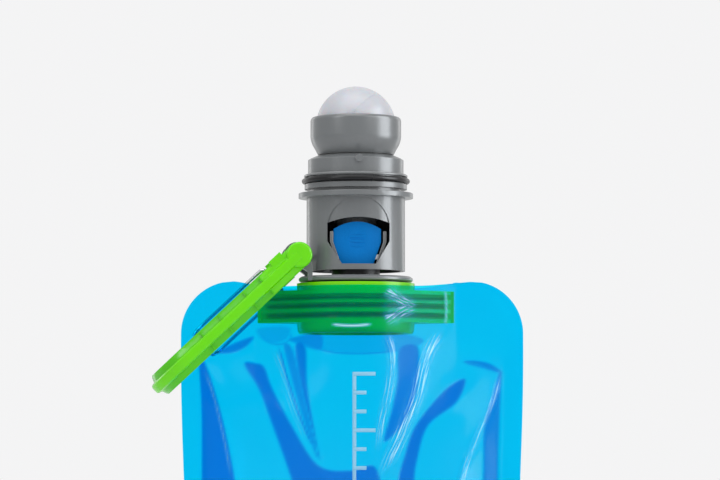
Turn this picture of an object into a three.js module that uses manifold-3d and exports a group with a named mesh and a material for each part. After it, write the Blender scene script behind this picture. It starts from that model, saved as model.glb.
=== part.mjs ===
// Folding water bottle with a quick-release roller-ball head and a folding carabiner.
// Millimetres, +Z up, the bottle stands on z = 0 and the neck axis is the Z axis.
// The flat face of the bottle looks along -Y, and the carabiner hangs to the left, towards -X.

import * as THREE from "three";
import { mergeVertices } from "three/addons/utils/BufferGeometryUtils.js";
import Module from "manifold-3d";

const wasm = await Module();
wasm.setup();

// ---------------------------------------------------------------- driving dimensions

const ROUND = 32; // sides of a full circle
const GAP = 0.3; // clearance between neighbouring pieces

// Pouch: two welded films and a flat bottom panel
const POUCH_TOP = 215.6;
const POUCH_SHIFT = -1.4; // the neck is welded a little off the middle of the films
const FILM = 0.5;
const SEAL = 7.5; // width of the welded border
const CORNER_TOP = 20;
const CORNER_BOTTOM = 10;
const TOP_DIP = 2.4; // how far the top edge dips around the neck

// Neck fitment: a round neck with a boat-shaped welding base
const NECK_R = 22.4;
const NECK_BORE = 18.3;
const NECK_BOTTOM = 195.6;
const NECK_TOP = 214.6;
const BOAT_TIP = 37;
const BOAT_LOW = 199.7;
const BOAT_HIGH = 211.6;
const RIB_HEIGHTS = [200.35, 204.0, 207.6, 210.95];

// Screw thread between the neck and the screw base
const LEAD = 6;
const THREAD_MALE_ROOT = 16.6;
const THREAD_MALE_CREST = 17.1;
const THREAD_FEMALE_CREST = 17.6;

// Carabiner ring and its hinge
const RING_R = 21.7;
const RING_LOW = 215.2;
const RING_TOP = 217.2;
const HINGE_X = -22.4;
const HINGE_Z = 224.6;
const HANG_ANGLE = 43.2; // degrees below horizontal
const EYE_R = 4.9;
const ARM_IN = 9.6;
const ARM_OUT = 13.0;

// Carabiner, along its own length u, across its width v and through its thickness w
const LOOP_LENGTH = 73.9;
const LOOP_HALF = 19;
const LOOP_INNER = 13.3;
const RIB_HALF = 2.05; // half thickness of the raised middle rib
const FLANGE_HALF = 4.7;
const FLANGE_OUTER = 16.6;
const FLANGE_INNER = 14.5;
const GATE_PIVOT = 11.5;
const GATE_V = 16;
const GATE_W = 5.8;
const GATE_END = 48.5;
const WIRE_R = 0.7;
const ROOT_END = 15;
const NOSE_START = 45;

// Quick-release head
const HEAD_YAW = 4.1; // degrees, for the head and the carabiner alike
const HOUSING_R = 18.75;
const HOUSING_LOW = 219.3;
const HOUSING_TOP = 249;
const FLANGE_R = 21.8;
const WALL = 1.7;
const BALL_R = 15.2;
const BALL_Z = 274.7;
const CUP_R = 17.3;
const BUTTON_FACE = 13.4; // distance of the button's face from the axis
const BUTTON_SHIFT = -0.3;

// ---------------------------------------------------------------- geometry helpers

// A closed geometry as a solid for joining and cutting.
function toSolid(geometry) {
  const bare = geometry.index ? geometry.toNonIndexed() : geometry.clone();
  for (const name of Object.keys(bare.attributes)) {
    if (name !== "position") bare.deleteAttribute(name);
  }
  const merged = mergeVertices(bare, 1e-4);
  const index = merged.index.array;
  const faces = [];
  for (let i = 0; i < index.length; i += 3) {
    const [a, b, c] = index.slice(i, i + 3);
    if (a !== b && b !== c && c !== a) faces.push([a, b, c]);
  }
  const make = (triangles) => new wasm.Manifold(new wasm.Mesh({
    numProp: 3,
    vertProperties: merged.attributes.position.array,
    triVerts: new Uint32Array(triangles.flat()),
  }));
  const made = make(faces);
  return made.volume() > 0 ? made : make(faces.map(([a, b, c]) => [a, c, b]));
}

function toGeometry(solid) {
  const mesh = solid.getMesh();
  const stride = mesh.numProp;
  const position = new Float32Array(mesh.numVert * 3);
  for (let i = 0; i < mesh.numVert; i++) {
    position.set(mesh.vertProperties.subarray(i * stride, i * stride + 3), i * 3);
  }
  const geometry = new THREE.BufferGeometry();
  geometry.setAttribute("position", new THREE.BufferAttribute(position, 3));
  geometry.setIndex(new THREE.BufferAttribute(new Uint32Array(mesh.triVerts), 1));
  geometry.computeVertexNormals();
  return geometry;
}

const join = (first, ...others) => others.reduce((sum, other) => sum.add(other), first);
const cut = (first, ...others) => others.reduce((rest, other) => rest.subtract(other), first);

// A profile of [radius, height] points turned about the Z axis.
function turned(profile, sides = ROUND) {
  const closed = profile[0][0] > 0 || profile.at(-1)[0] > 0;
  const points = (closed ? [...profile, profile[0]] : profile).map(([r, z]) => new THREE.Vector2(r, z));
  return toSolid(new THREE.LatheGeometry(points, sides).rotateX(Math.PI / 2));
}

const tube = (inner, outer, low, high, sides) => turned([[inner, low], [outer, low], [outer, high], [inner, high]], sides);
const disc = (radius, low, high, sides) => turned([[0, low], [radius, low], [radius, high], [0, high]], sides);

// A shape in X and Y, raised from low to high.
function raised(shape, low, high, steps = 8) {
  const geometry = new THREE.ExtrudeGeometry(shape, { depth: high - low, bevelEnabled: false, curveSegments: steps });
  return toSolid(geometry.translate(0, 0, low));
}

// A shape in X and Z, given depth from y = near to y = far.
function facing(shape, near, far, steps = 8) {
  const geometry = new THREE.ExtrudeGeometry(shape, { depth: far - near, bevelEnabled: false, curveSegments: steps });
  return toSolid(geometry.rotateX(Math.PI / 2).translate(0, far, 0));
}

function block(x0, x1, y0, y1, z0, z1) {
  const geometry = new THREE.BoxGeometry(x1 - x0, y1 - y0, z1 - z0);
  return toSolid(geometry.translate((x0 + x1) / 2, (y0 + y1) / 2, (z0 + z1) / 2));
}

// A rod of round section along Y.
function rodAlongY(x, z, radius, y0, y1, sides = 20) {
  const geometry = new THREE.CylinderGeometry(radius, radius, y1 - y0, sides);
  return toSolid(geometry.translate(x, (y0 + y1) / 2, z));
}

// A round wire along a smooth curve through points.
function wire(points, radius, steps, sides = 8) {
  const curve = points.isCurve ? points : new THREE.CatmullRomCurve3(points, false, "centripetal");
  const section = new THREE.Shape(
    Array.from({ length: sides }, (_, i) => {
      const angle = (2 * Math.PI * i) / sides;
      return new THREE.Vector2(radius * Math.cos(angle), radius * Math.sin(angle));
    }),
  );
  return toSolid(new THREE.ExtrudeGeometry(section, { steps, extrudePath: curve, bevelEnabled: false }));
}

class Helix extends THREE.Curve {
  constructor(radius, low, high, turns) {
    super();
    Object.assign(this, { radius, low, high, turns });
    this.isCurve = true;
  }
  getPoint(t, target = new THREE.Vector3()) {
    const angle = 2 * Math.PI * this.turns * t;
    const z = this.low + (this.high - this.low) * t;
    return target.set(this.radius * Math.cos(angle), this.radius * Math.sin(angle), z);
  }
}

// A ridge of triangular section that winds up a cylinder; root and crest are radii.
function threadRidge(root, crest, low, turns) {
  const steps = Math.round(turns * 14);
  const foot = 1.1;
  const ring = (i) => {
    const angle = (2 * Math.PI * turns * i) / steps;
    const z = low + (LEAD * turns * i) / steps;
    return [[root, z - foot], [crest, z], [root, z + foot]].map(([r, height]) => [
      r * Math.cos(angle), r * Math.sin(angle), height,
    ]);
  };
  const rings = Array.from({ length: steps + 1 }, (_, i) => ring(i));
  const triangles = [];
  for (let i = 0; i < steps; i++) {
    for (let k = 0; k < 3; k++) {
      const next = (k + 1) % 3;
      triangles.push(rings[i][k], rings[i + 1][k], rings[i + 1][next]);
      triangles.push(rings[i][k], rings[i + 1][next], rings[i][next]);
    }
  }
  triangles.push(rings[0][0], rings[0][1], rings[0][2]);
  triangles.push(rings[steps][0], rings[steps][2], rings[steps][1]);
  const geometry = new THREE.BufferGeometry();
  geometry.setAttribute("position", new THREE.Float32BufferAttribute(triangles.flat(), 3));
  return toSolid(geometry);
}

const smooth = (t) => {
  const x = Math.min(1, Math.max(0, t));
  return x * x * (3 - 2 * x);
};
const mix = (a, b, t) => a + (b - a) * t;

// ---------------------------------------------------------------- pouch

// Half the width of the films at height z: round corners, and sides drawn in by the filled body.
function pouchHalfWidth(z) {
  const side = 65 - 2.4 * Math.sin(Math.PI * Math.min(1, Math.max(0, z / 190))) ** 2;
  const topCentre = POUCH_TOP - CORNER_TOP;
  if (z > topCentre) {
    return side - CORNER_TOP + Math.sqrt(Math.max(0, CORNER_TOP ** 2 - (z - topCentre) ** 2));
  }
  if (z < CORNER_BOTTOM) {
    return side - CORNER_BOTTOM + Math.sqrt(CORNER_BOTTOM ** 2 - (z - CORNER_BOTTOM) ** 2);
  }
  return side;
}

// Half the depth that the boat-shaped fitment needs at x: an arc and a straight wing to the tip.
function boatHalfDepth(x, radius, tip) {
  const tangentX = radius ** 2 / tip;
  const tangentY = Math.sqrt(radius ** 2 - tangentX ** 2);
  const across = Math.abs(x);
  if (across < tangentX) return Math.sqrt(radius ** 2 - across ** 2);
  return Math.max(0, (tangentY * (tip - across)) / (tip - tangentX));
}

// Half the inner depth of the filled pouch.
function pouchHalfDepth(x, z) {
  const filmGap = 0.15;
  const across = Math.abs(x - POUCH_SHIFT);
  const inside = pouchHalfWidth(Math.min(z, POUCH_TOP - CORNER_TOP)) - SEAL;
  const bulge = mix(29, 24, smooth((z - 40) / 150)) - 2 * smooth((20 - z) / 20);
  const body = across < inside ? bulge * (1 - (across / inside) ** 2.2) ** 0.75 : 0;
  const neck = boatHalfDepth(x, NECK_R + 0.7, BOAT_TIP + 1.2);
  return filmGap + mix(body, neck, smooth((z - 165) / 32));
}

const FILM_COLUMNS = [0, 0.16, 0.3, 0.38, 0.48, 0.58, 0.7, 0.8, 0.88, 1];
const FILM_ROWS = [0, 4, 12, 40, 90, 140, 165, 178, 190, 198, 204, 209, 213, POUCH_TOP];

// One film: a sheet of even thickness from the welded border over the bulge. side is -1 for the front.
function pouchFilm(side) {
  const across = [...FILM_COLUMNS.slice(1).reverse().map((c) => -c), ...FILM_COLUMNS];
  const place = (i, j, out) => {
    const level = FILM_ROWS[j];
    const x = POUCH_SHIFT + across[i] * pouchHalfWidth(level);
    const dip = TOP_DIP * smooth((48 - Math.abs(x)) / 16) * smooth((level - 204) / 11.6);
    const depth = pouchHalfDepth(x, level) + (out ? FILM : 0);
    return [x, side * depth, level - dip];
  };
  const triangles = [];
  const quad = (a, b, c, d) => triangles.push(a, b, c, a, c, d);
  const [columns, rows] = [across.length - 1, FILM_ROWS.length - 1];
  for (let i = 0; i < columns; i++) {
    for (let j = 0; j < rows; j++) {
      quad(place(i, j, true), place(i + 1, j, true), place(i + 1, j + 1, true), place(i, j + 1, true));
      quad(place(i, j, false), place(i, j + 1, false), place(i + 1, j + 1, false), place(i + 1, j, false));
    }
    quad(place(i, 0, false), place(i + 1, 0, false), place(i + 1, 0, true), place(i, 0, true));
    quad(place(i, rows, true), place(i + 1, rows, true), place(i + 1, rows, false), place(i, rows, false));
  }
  for (let j = 0; j < rows; j++) {
    quad(place(0, j, false), place(0, j, true), place(0, j + 1, true), place(0, j + 1, false));
    quad(place(columns, j, true), place(columns, j, false), place(columns, j + 1, false), place(columns, j + 1, true));
  }
  const geometry = new THREE.BufferGeometry();
  geometry.setAttribute("position", new THREE.Float32BufferAttribute(triangles.flat(), 3));
  return toSolid(geometry);
}

// The oval bottom panel that lets the filled bottle stand.
function bottomGusset() {
  const reach = pouchHalfWidth(20) - SEAL - 9;
  const steps = 16;
  const edge = (side) => Array.from({ length: steps }, (_, i) => {
    const x = POUCH_SHIFT - side * reach * Math.cos((Math.PI * i) / steps);
    return new THREE.Vector2(x, side * Math.max(0, pouchHalfDepth(x, 0) - 2));
  });
  return raised(new THREE.Shape([...edge(1), ...edge(-1)]), 0, 0.6);
}

// ---------------------------------------------------------------- neck

function boatShape(radius, tip) {
  const tangent = Math.acos(radius / tip);
  const arcSteps = 8;
  const points = [];
  for (const start of [0, Math.PI]) {
    points.push(new THREE.Vector2(tip * Math.cos(start), 0));
    for (let i = 0; i <= arcSteps; i++) {
      const angle = start + tangent + ((Math.PI - 2 * tangent) * i) / arcSteps;
      points.push(new THREE.Vector2(radius * Math.cos(angle), radius * Math.sin(angle)));
    }
  }
  return new THREE.Shape(points);
}

function neckFitment() {
  const ribHalf = 0.65;
  const shell = turned([
    [0, NECK_BOTTOM], [NECK_R - 0.6, NECK_BOTTOM], [NECK_R, NECK_BOTTOM + 4], [NECK_R, NECK_TOP], [0, NECK_TOP],
  ]);
  const core = raised(boatShape(NECK_R - 0.9, BOAT_TIP - 2), BOAT_LOW, BOAT_HIGH);
  const ribs = RIB_HEIGHTS.map((z) => raised(boatShape(NECK_R, BOAT_TIP), z - ribHalf, z + ribHalf));
  const fin = block(-BOAT_TIP - 0.3, BOAT_TIP + 0.3, -0.7, 0.7, BOAT_LOW, BOAT_HIGH);
  const ledge = 13.8;
  const bore = join(disc(NECK_BORE, 202.4, NECK_TOP + 1), disc(ledge, NECK_BOTTOM - 1, 203));
  const mouth = disc(NECK_BORE, NECK_BOTTOM - 1, 201);
  const body = cut(join(shell, core, fin, ...ribs), bore, mouth);
  return join(body, threadRidge(NECK_BORE + 0.2, THREAD_FEMALE_CREST, 206.3, 1.1));
}

const neckSeal = () => tube(14, 16.9, 203.1, 203.5);
const swivelWasher = () => tube(17.7, 19.4, NECK_TOP + 0.1, RING_LOW - 0.1);

// ---------------------------------------------------------------- carabiner ring, hinge and carabiner

// A flat ring with two arms that rise beside the housing to the hinge.
function carabinerRing() {
  const ring = turned([
    [17.7, RING_LOW], [RING_R - 0.5, RING_LOW], [RING_R, RING_LOW + 0.5], [RING_R, RING_TOP - 0.9],
    [RING_R - 0.7, RING_TOP], [19.6, RING_TOP], [19.6, RING_TOP - 1], [17.7, RING_TOP - 1],
  ], 36);
  const knuckle = 4.85;
  const stemLeft = -18.9;
  const stemRight = -17.2;
  const profile = new THREE.Shape();
  profile.moveTo(stemRight, RING_LOW + 0.1);
  profile.lineTo(stemLeft, RING_LOW + 0.1);
  profile.lineTo(stemLeft, RING_TOP + 1.2);
  profile.absarc(HINGE_X - 0.75, HINGE_Z + 0.25, knuckle, -1.22, -0.35, true);
  profile.lineTo(stemRight - 0.2, HINGE_Z - 3.4);
  profile.lineTo(stemRight, HINGE_Z - 4.6);
  profile.lineTo(stemRight, RING_TOP - 0.3);
  const arms = [facing(profile, -ARM_OUT, -ARM_IN), facing(profile, ARM_IN, ARM_OUT)];
  const hole = rodAlongY(HINGE_X, HINGE_Z, 1.35, -ARM_OUT - 1, ARM_OUT + 1);
  const centre = disc(19.3, RING_TOP - 0.9, RING_TOP + 1, 36);
  const bore = disc(17.7, RING_LOW - 1, RING_TOP, 36);
  return cut(join(ring, ...arms), hole, centre, bore);
}

const hingePin = () => rodAlongY(HINGE_X, HINGE_Z, 1.15, -16.6, 16.6, 16);

// The outline of the loop between two offsets, from one flank round the bow to the other.
// ends are how far along u the two flanks start: near flank first.
function loopShape(inner, outer, nearStart, farStart) {
  const bowCentre = LOOP_LENGTH - LOOP_HALF;
  const shape = new THREE.Shape();
  shape.moveTo(nearStart, -outer);
  shape.lineTo(bowCentre, -outer);
  shape.absarc(bowCentre, 0, outer, -Math.PI / 2, Math.PI / 2, false);
  shape.lineTo(farStart, outer);
  shape.lineTo(farStart, inner);
  shape.lineTo(bowCentre, inner);
  shape.absarc(bowCentre, 0, inner, Math.PI / 2, -Math.PI / 2, true);
  shape.lineTo(nearStart, -inner);
  return shape;
}

function carabinerFrame() {
  const steps = 12;
  const rib = raised(loopShape(LOOP_INNER, LOOP_HALF, 0, NOSE_START), -RIB_HALF, RIB_HALF, steps);
  const flange = raised(loopShape(FLANGE_INNER, FLANGE_OUTER, 0, NOSE_START), -FLANGE_HALF, FLANGE_HALF, steps);
  const rootRib = block(0, ROOT_END, LOOP_INNER, LOOP_HALF, -RIB_HALF, RIB_HALF);
  const rootFlange = block(0, ROOT_END, FLANGE_INNER, FLANGE_OUTER, -FLANGE_HALF, FLANGE_HALF);
  const boss = block(4.7, 10.3, FLANGE_INNER, FLANGE_OUTER, -5.9, 5.9);
  const crossBar = block(9.3, 13.3, -LOOP_INNER - 1, LOOP_INNER + 1, -RIB_HALF, RIB_HALF);
  const eyes = [rodAlongY(0, 0, EYE_R, -LOOP_HALF, -LOOP_INNER), rodAlongY(0, 0, EYE_R, LOOP_INNER, LOOP_HALF)];
  const pinHole = rodAlongY(0, 0, 1.35, -17, 17, 16);
  const gateHole = toSolid(new THREE.CylinderGeometry(1.15, 1.15, 20, 12).rotateX(Math.PI / 2).translate(GATE_PIVOT, GATE_V, 0));
  return cut(join(rib, flange, rootRib, rootFlange, boss, crossBar, ...eyes), pinHole, gateHole);
}

// A bent steel wire: both ends turn into the frame, and the cross bar rests inside the nose.
function wireGate() {
  const side = (sign) => [
    [GATE_PIVOT, GATE_V, 2.6 * sign],
    [GATE_PIVOT, GATE_V, 4.4 * sign],
    [GATE_PIVOT + 0.7, GATE_V, GATE_W * sign - 0.25 * sign],
    [GATE_PIVOT + 3, GATE_V, GATE_W * sign],
    [28, GATE_V, GATE_W * sign],
    [GATE_END - 5.5, GATE_V - 0.6, GATE_W * sign],
    [GATE_END - 0.9, 12.7, (GATE_W - 0.4) * sign],
    [GATE_END, 12.3, (GATE_W - 2.2) * sign],
  ];
  const points = [...side(1), ...side(-1).reverse()].map((p) => new THREE.Vector3(...p));
  return wire(points, WIRE_R, 44, 8);
}

// ---------------------------------------------------------------- screw base and spigot

function screwBase() {
  const stem = 6.3;
  const body = turned([
    [14.6, 203.6], [THREAD_MALE_ROOT, 203.6], [THREAD_MALE_ROOT, RING_TOP - 0.9], [19.3, RING_TOP - 0.9],
    [19.3, RING_TOP - 0.1], [stem, RING_TOP - 0.1], [stem, 214.2], [14.6, 214.2],
  ]);
  return join(body, threadRidge(THREAD_MALE_ROOT - 0.2, THREAD_MALE_CREST, 205.2, 1.25));
}

// The dark hollow spigot that the head snaps onto: a groove for the latch and one for an O-ring.
function spigot() {
  return turned([
    [4, 212.3], [6, 212.3], [6, RING_TOP + 0.1], [9.2, RING_TOP + 0.1], [9.2, 221.2], [7, 222.4], [7, 225.6],
    [8.5, 225.7], [8.5, 227], [6.6, 228.2], [6.6, 229.6], [5.5, 229.7], [5.5, 231.1], [6.6, 231.2], [6, 233.6],
    [4, 233.6],
  ], 24);
}

const spigotRetainer = () => tube(6.15, 9, 212.5, 214, 24);

function ringSeal(radius, minor, z, sides = ROUND, steps = 8) {
  const profile = Array.from({ length: steps }, (_, i) => {
    const angle = (2 * Math.PI * i) / steps;
    return [radius + minor * Math.cos(angle), z + minor * Math.sin(angle)];
  });
  return turned(profile, sides);
}

const spigotSeal = () => ringSeal(6.17, 0.55, 230.4, 24, 6);

// ---------------------------------------------------------------- quick-release head

// A shield outline: an arched top over straight sides that narrow below the waist to a flat sill.
function shieldShape(half, sillHalf, top, shoulder, waist, sill) {
  const shape = new THREE.Shape();
  shape.moveTo(-sillHalf, sill);
  shape.lineTo(sillHalf, sill);
  shape.lineTo(half, waist);
  shape.lineTo(half, shoulder);
  shape.quadraticCurveTo(0, 2 * top - shoulder, -half, shoulder);
  shape.lineTo(-half, waist);
  return shape;
}

// A shell with a cover flange on top, a window for the button and a shallow thumb scoop round it.
function housing() {
  const inner = HOUSING_R - WALL;
  const shell = turned([
    [inner, HOUSING_LOW], [HOUSING_R, HOUSING_LOW], [HOUSING_R, 247], [FLANGE_R, 247.2], [FLANGE_R, HOUSING_TOP - 0.2],
    [FLANGE_R - 0.2, HOUSING_TOP], [11.4, HOUSING_TOP], [11.4, 247], [inner, 247],
  ], 40);
  const window = facing(shieldShape(11.75, 6.45, 239, 236.9, 230, 221.4), -30, -8, 10);
  const scoopRadius = 11.8;
  const scoopZ = 235.3;
  const scoop = cut(rodAlongY(0, scoopZ, scoopRadius, -30, 0, 32), disc(HOUSING_R - 0.45, 200, 260, 40));
  return cut(shell, window, scoop);
}

// The blue button: a shield-shaped pad with a slightly crowned face, relieved behind for the latch plate.
function releaseButton() {
  const back = -11;
  const pad = facing(shieldShape(9, 6.1, 237.5, 234.7, 229.8, 221.6), -BUTTON_FACE, back, 10);
  const crown = disc(31, 215, 245, 64).translate(0, 31 - BUTTON_FACE, 0);
  return cut(pad.intersect(crown), block(-20, 20, back - 1.3, 0, 215, 226));
}

// A rigid U-shaped rail behind the window that keeps the button straight.
function buttonGuide() {
  const outer = facing(shieldShape(10.65, 7.5, 239, 237, 229.9, 220.2), -13.2, -11.2, 8);
  const inner = facing(shieldShape(9.45, 6.6, 238, 236, 229.8, 221.4), -40, 0, 8);
  return cut(outer, inner, block(-20, 20, -20, 0, 233.8, 250));
}

// A sliding plate whose hole is off centre, so that its rear edge sits in the spigot's groove.
function latchPlate() {
  const [low, high] = [223.4, 225.2];
  const outline = new THREE.Shape();
  outline.moveTo(-4.9, -12);
  outline.lineTo(4.9, -12);
  outline.lineTo(4.9, -10.9);
  outline.lineTo(8.5, -10.9);
  outline.lineTo(11.6, -4);
  outline.absarc(0, -1, 12, -0.25, Math.PI + 0.25, false);
  outline.lineTo(-11.6, -4);
  outline.lineTo(-8.5, -10.9);
  outline.lineTo(-4.9, -10.9);
  const hole = disc(9.15, low - 1, high + 1, 30).translate(0, -2, 0);
  return cut(raised(outline, low, high, 12), hole);
}

const latchSpring = () =>
  toSolid(toGeometry(wire(new Helix(1.9, 0, 4.6, 3.5), 0.35, 42, 5)).rotateX(-Math.PI / 2).translate(0, 11.7, 224.3));

// The inner body: socket for the spigot below, flow tube above.
function flowCore() {
  return turned([
    [6.9, 228.6], [8.4, 228.6], [8.4, 236], [8, 237], [8, 256], [5.6, 256], [5.6, 237.4], [3.4, 236.2], [3.4, 234.6],
    [6.9, 234.6],
  ], 24);
}

// A valve disc with three guide legs is simplified to a stemmed cone.
const valvePoppet = () => turned([[0, 236.6], [2.4, 236.6], [4.9, 238.2], [4.9, 239.4], [1.6, 239.9], [1.6, 244], [0, 244]], 20);
const valveSpring = () => wire(new Helix(3.4, 240.5, 252.6, 4), 0.4, 48, 5);
const valveCage = () => tube(2.6, 5.3, 253.2, 255.8, 20);

// The upper body: groove, seal seat, cone and collar with three bayonet lugs for the cover.
function collarCore() {
  const body = turned([
    [8.3, 249.1], [17.6, 249.1], [17.6, 250.3], [19.5, 250.4], [19.5, 252.3], [18.4, 252.4], [18.4, 255.1],
    [19.7, 255.2], [19.7, 255.8], [19.3, 256.1], [18.2, 256.2], [18.2, 261.4], [17.8, 261.8], [14.8, 263.2], [12.9, 263.2],
    [12.9, 257.2], [8.3, 257.2],
  ], 36);
  const neck = tube(8.3, 11.1, 244, 249.3, 30);
  const lugs = [0, 120, 240].map((degrees) => {
    const lug = rodAlongY(0, 261.2, 1.4, -19.4, -17, 12);
    return lug.rotate([0, 0, degrees]);
  });
  return join(body, neck, ...lugs);
}

const coverSeal = () => ringSeal(19.55, 1.05, 253.6, 36, 6);
const cupSeal = () => tube(5.8, 8, 256.2, 257.2, 24);

// The socket that snaps over the ball, just past its equator.
function ballCup() {
  const seat = BALL_R + 0.35;
  const lip = 278.1;
  const arcSteps = 8;
  const drain = 3;
  const low = -Math.acos(drain / seat);
  const high = Math.asin((lip - BALL_Z) / seat);
  const arc = Array.from({ length: arcSteps + 1 }, (_, i) => {
    const angle = mix(high, low, i / arcSteps);
    return [seat * Math.cos(angle), BALL_Z + seat * Math.sin(angle)];
  });
  return turned([
    [drain, 257.6], [12.6, 257.6], [12.6, 263.6], [14.3, 263.6], [15.3, 265.4], [16.5, 267.4], [17.1, 268.9],
    [CUP_R, 270.4], [CUP_R, 276.9], [16.9, 277.6], [16.2, lip], ...arc,
  ], 36);
}

// The hollow ball is two shells welded along a great circle; normal is the axis of the weld.
function ballHalf(sign) {
  const wall = 1.6;
  const steps = 6;
  const edge = 0.2;
  const quarter = (radius) => Array.from({ length: steps + 1 }, (_, i) => {
    const start = Math.asin(edge / radius);
    const angle = mix(start, Math.PI / 2, i / steps);
    return [i === steps ? 0 : radius * Math.cos(angle), radius * Math.sin(angle)];
  });
  const half = turned([...quarter(BALL_R).reverse(), ...quarter(BALL_R - wall)], 24);
  const weldAxis = new THREE.Vector3(0.772, -0.203, -0.602).normalize().multiplyScalar(sign);
  const turn = new THREE.Quaternion().setFromUnitVectors(new THREE.Vector3(0, 0, 1), weldAxis);
  return toGeometry(half).applyQuaternion(turn).translate(0, 0, BALL_Z);
}

// ---------------------------------------------------------------- assembly

const finish = {
  film: { color: 0x00a8e8, roughness: 0.12, metalness: 0, transparent: true, opacity: 0.75 },
  green: { color: 0x0b8f2e, roughness: 0.35, metalness: 0 },
  lime: { color: 0x6be01a, roughness: 0.3, metalness: 0 },
  grey: { color: 0x74787a, roughness: 0.38, metalness: 0 },
  black: { color: 0x17161a, roughness: 0.5, metalness: 0 },
  blue: { color: 0x0878c8, roughness: 0.4, metalness: 0 },
  ball: { color: 0xdfe2ea, roughness: 0.35, metalness: 0 },
  steel: { color: 0xc8cbd0, roughness: 0.2, metalness: 1 },
  silicone: { color: 0xd8d8d4, roughness: 0.6, metalness: 0 },
};

function piece(name, made, look) {
  const geometry = made.isBufferGeometry ? made : toGeometry(made);
  const mesh = new THREE.Mesh(geometry, new THREE.MeshStandardMaterial(finish[look]));
  mesh.name = name;
  return mesh;
}

const bottle = new THREE.Group();
bottle.add(
  piece("pouch_front_film", pouchFilm(-1), "film"),
  piece("pouch_back_film", pouchFilm(1), "film"),
  piece("bottom_gusset", bottomGusset(), "film"),
  piece("neck_fitment", neckFitment(), "green"),
  piece("neck_seal", neckSeal(), "silicone"),
  piece("swivel_washer", swivelWasher(), "black"),
  piece("screw_base", screwBase(), "grey"),
  piece("spigot", spigot(), "black"),
  piece("spigot_retainer", spigotRetainer(), "steel"),
  piece("spigot_o_ring", spigotSeal(), "black"),
);

const carabiner = new THREE.Group();
carabiner.add(piece("carabiner_frame", carabinerFrame(), "lime"), piece("wire_gate", wireGate(), "steel"));
carabiner.position.set(HINGE_X, 0, HINGE_Z);
carabiner.rotation.y = THREE.MathUtils.degToRad(180 - HANG_ANGLE);

const swivel = new THREE.Group();
swivel.add(piece("carabiner_ring", carabinerRing(), "grey"), piece("hinge_pin", hingePin(), "steel"), carabiner);
swivel.rotation.z = THREE.MathUtils.degToRad(HEAD_YAW);

const head = new THREE.Group();
const button = piece("release_button", releaseButton(), "blue");
button.position.x = BUTTON_SHIFT;
head.add(
  piece("housing", housing(), "grey"),
  piece("button_guide", buttonGuide(), "grey"),
  button,
  piece("latch_plate", latchPlate(), "steel"),
  piece("latch_spring", latchSpring(), "steel"),
  piece("flow_core", flowCore(), "grey"),
  piece("valve_poppet", valvePoppet(), "silicone"),
  piece("valve_spring", valveSpring(), "steel"),
  piece("valve_cage", valveCage(), "grey"),
  piece("collar_core", collarCore(), "grey"),
  piece("cover_o_ring", coverSeal(), "black"),
  piece("cup_seal", cupSeal(), "silicone"),
  piece("ball_cup", ballCup(), "grey"),
);
head.rotation.z = THREE.MathUtils.degToRad(HEAD_YAW);

const ball = new THREE.Group();
ball.add(piece("ball_half_left", ballHalf(-1), "ball"), piece("ball_half_right", ballHalf(1), "ball"));

const root = new THREE.Group();
root.add(bottle, swivel, head, ball);

export default root;
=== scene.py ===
import math

import bpy
import numpy as np
from mathutils import Matrix, Vector


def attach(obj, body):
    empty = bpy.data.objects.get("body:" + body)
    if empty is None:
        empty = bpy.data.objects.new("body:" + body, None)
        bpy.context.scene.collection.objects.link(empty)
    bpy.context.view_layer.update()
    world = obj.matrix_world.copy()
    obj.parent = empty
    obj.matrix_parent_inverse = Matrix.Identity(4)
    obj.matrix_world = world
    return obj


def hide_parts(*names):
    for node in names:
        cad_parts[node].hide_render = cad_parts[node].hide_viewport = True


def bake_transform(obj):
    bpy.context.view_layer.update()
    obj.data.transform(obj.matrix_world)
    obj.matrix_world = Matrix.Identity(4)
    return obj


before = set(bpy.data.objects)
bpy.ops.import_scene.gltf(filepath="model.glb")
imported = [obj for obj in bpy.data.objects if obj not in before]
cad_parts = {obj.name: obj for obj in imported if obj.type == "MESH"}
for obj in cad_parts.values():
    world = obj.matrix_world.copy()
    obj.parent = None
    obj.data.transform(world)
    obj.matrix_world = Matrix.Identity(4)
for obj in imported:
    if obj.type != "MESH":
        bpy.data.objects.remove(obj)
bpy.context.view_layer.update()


# ------------------------------------------------------------ floor, light and camera
# The bottle stands on a pale sheet in an almost white room. A large soft box stands on the right,
# and a low camera looks slightly up at the head and the top of the pouch.

scene = bpy.context.scene
scene.view_settings.view_transform = "Standard"
scene.view_settings.look = "None"

WHITE_ROOM = (0.905, 0.905, 0.91)
ROOM_LIGHT = 0.78
room = bpy.data.worlds.new("white_room")
room.use_nodes = True
room_light = room.node_tree.nodes["Background"]
room_light.inputs["Color"].default_value = (*WHITE_ROOM, 1)
room_light.inputs["Strength"].default_value = ROOM_LIGHT
backdrop = room.node_tree.nodes.new("ShaderNodeBackground")
backdrop.inputs["Color"].default_value = (*WHITE_ROOM, 1)
seen = room.node_tree.nodes.new("ShaderNodeLightPath")
either = room.node_tree.nodes.new("ShaderNodeMixShader")
room.node_tree.links.new(seen.outputs["Is Camera Ray"], either.inputs["Fac"])
room.node_tree.links.new(room_light.outputs[0], either.inputs[1])
room.node_tree.links.new(backdrop.outputs[0], either.inputs[2])
room.node_tree.links.new(either.outputs[0], room.node_tree.nodes["World Output"].inputs["Surface"])
scene.world = room


def soft_box(name, place, aim, width, height, watts, colour, lights_surfaces):
    lamp = bpy.data.lights.new(name, "AREA")
    lamp.shape = "RECTANGLE"
    lamp.size = width
    lamp.size_y = height
    lamp.energy = watts
    lamp.color = colour
    holder = bpy.data.objects.new(name, lamp)
    scene.collection.objects.link(holder)
    holder.location = place
    holder.rotation_euler = (Vector(aim) - Vector(place)).to_track_quat("-Z", "Y").to_euler()
    holder.visible_diffuse = lights_surfaces
    holder.visible_camera = False
    return holder


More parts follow.
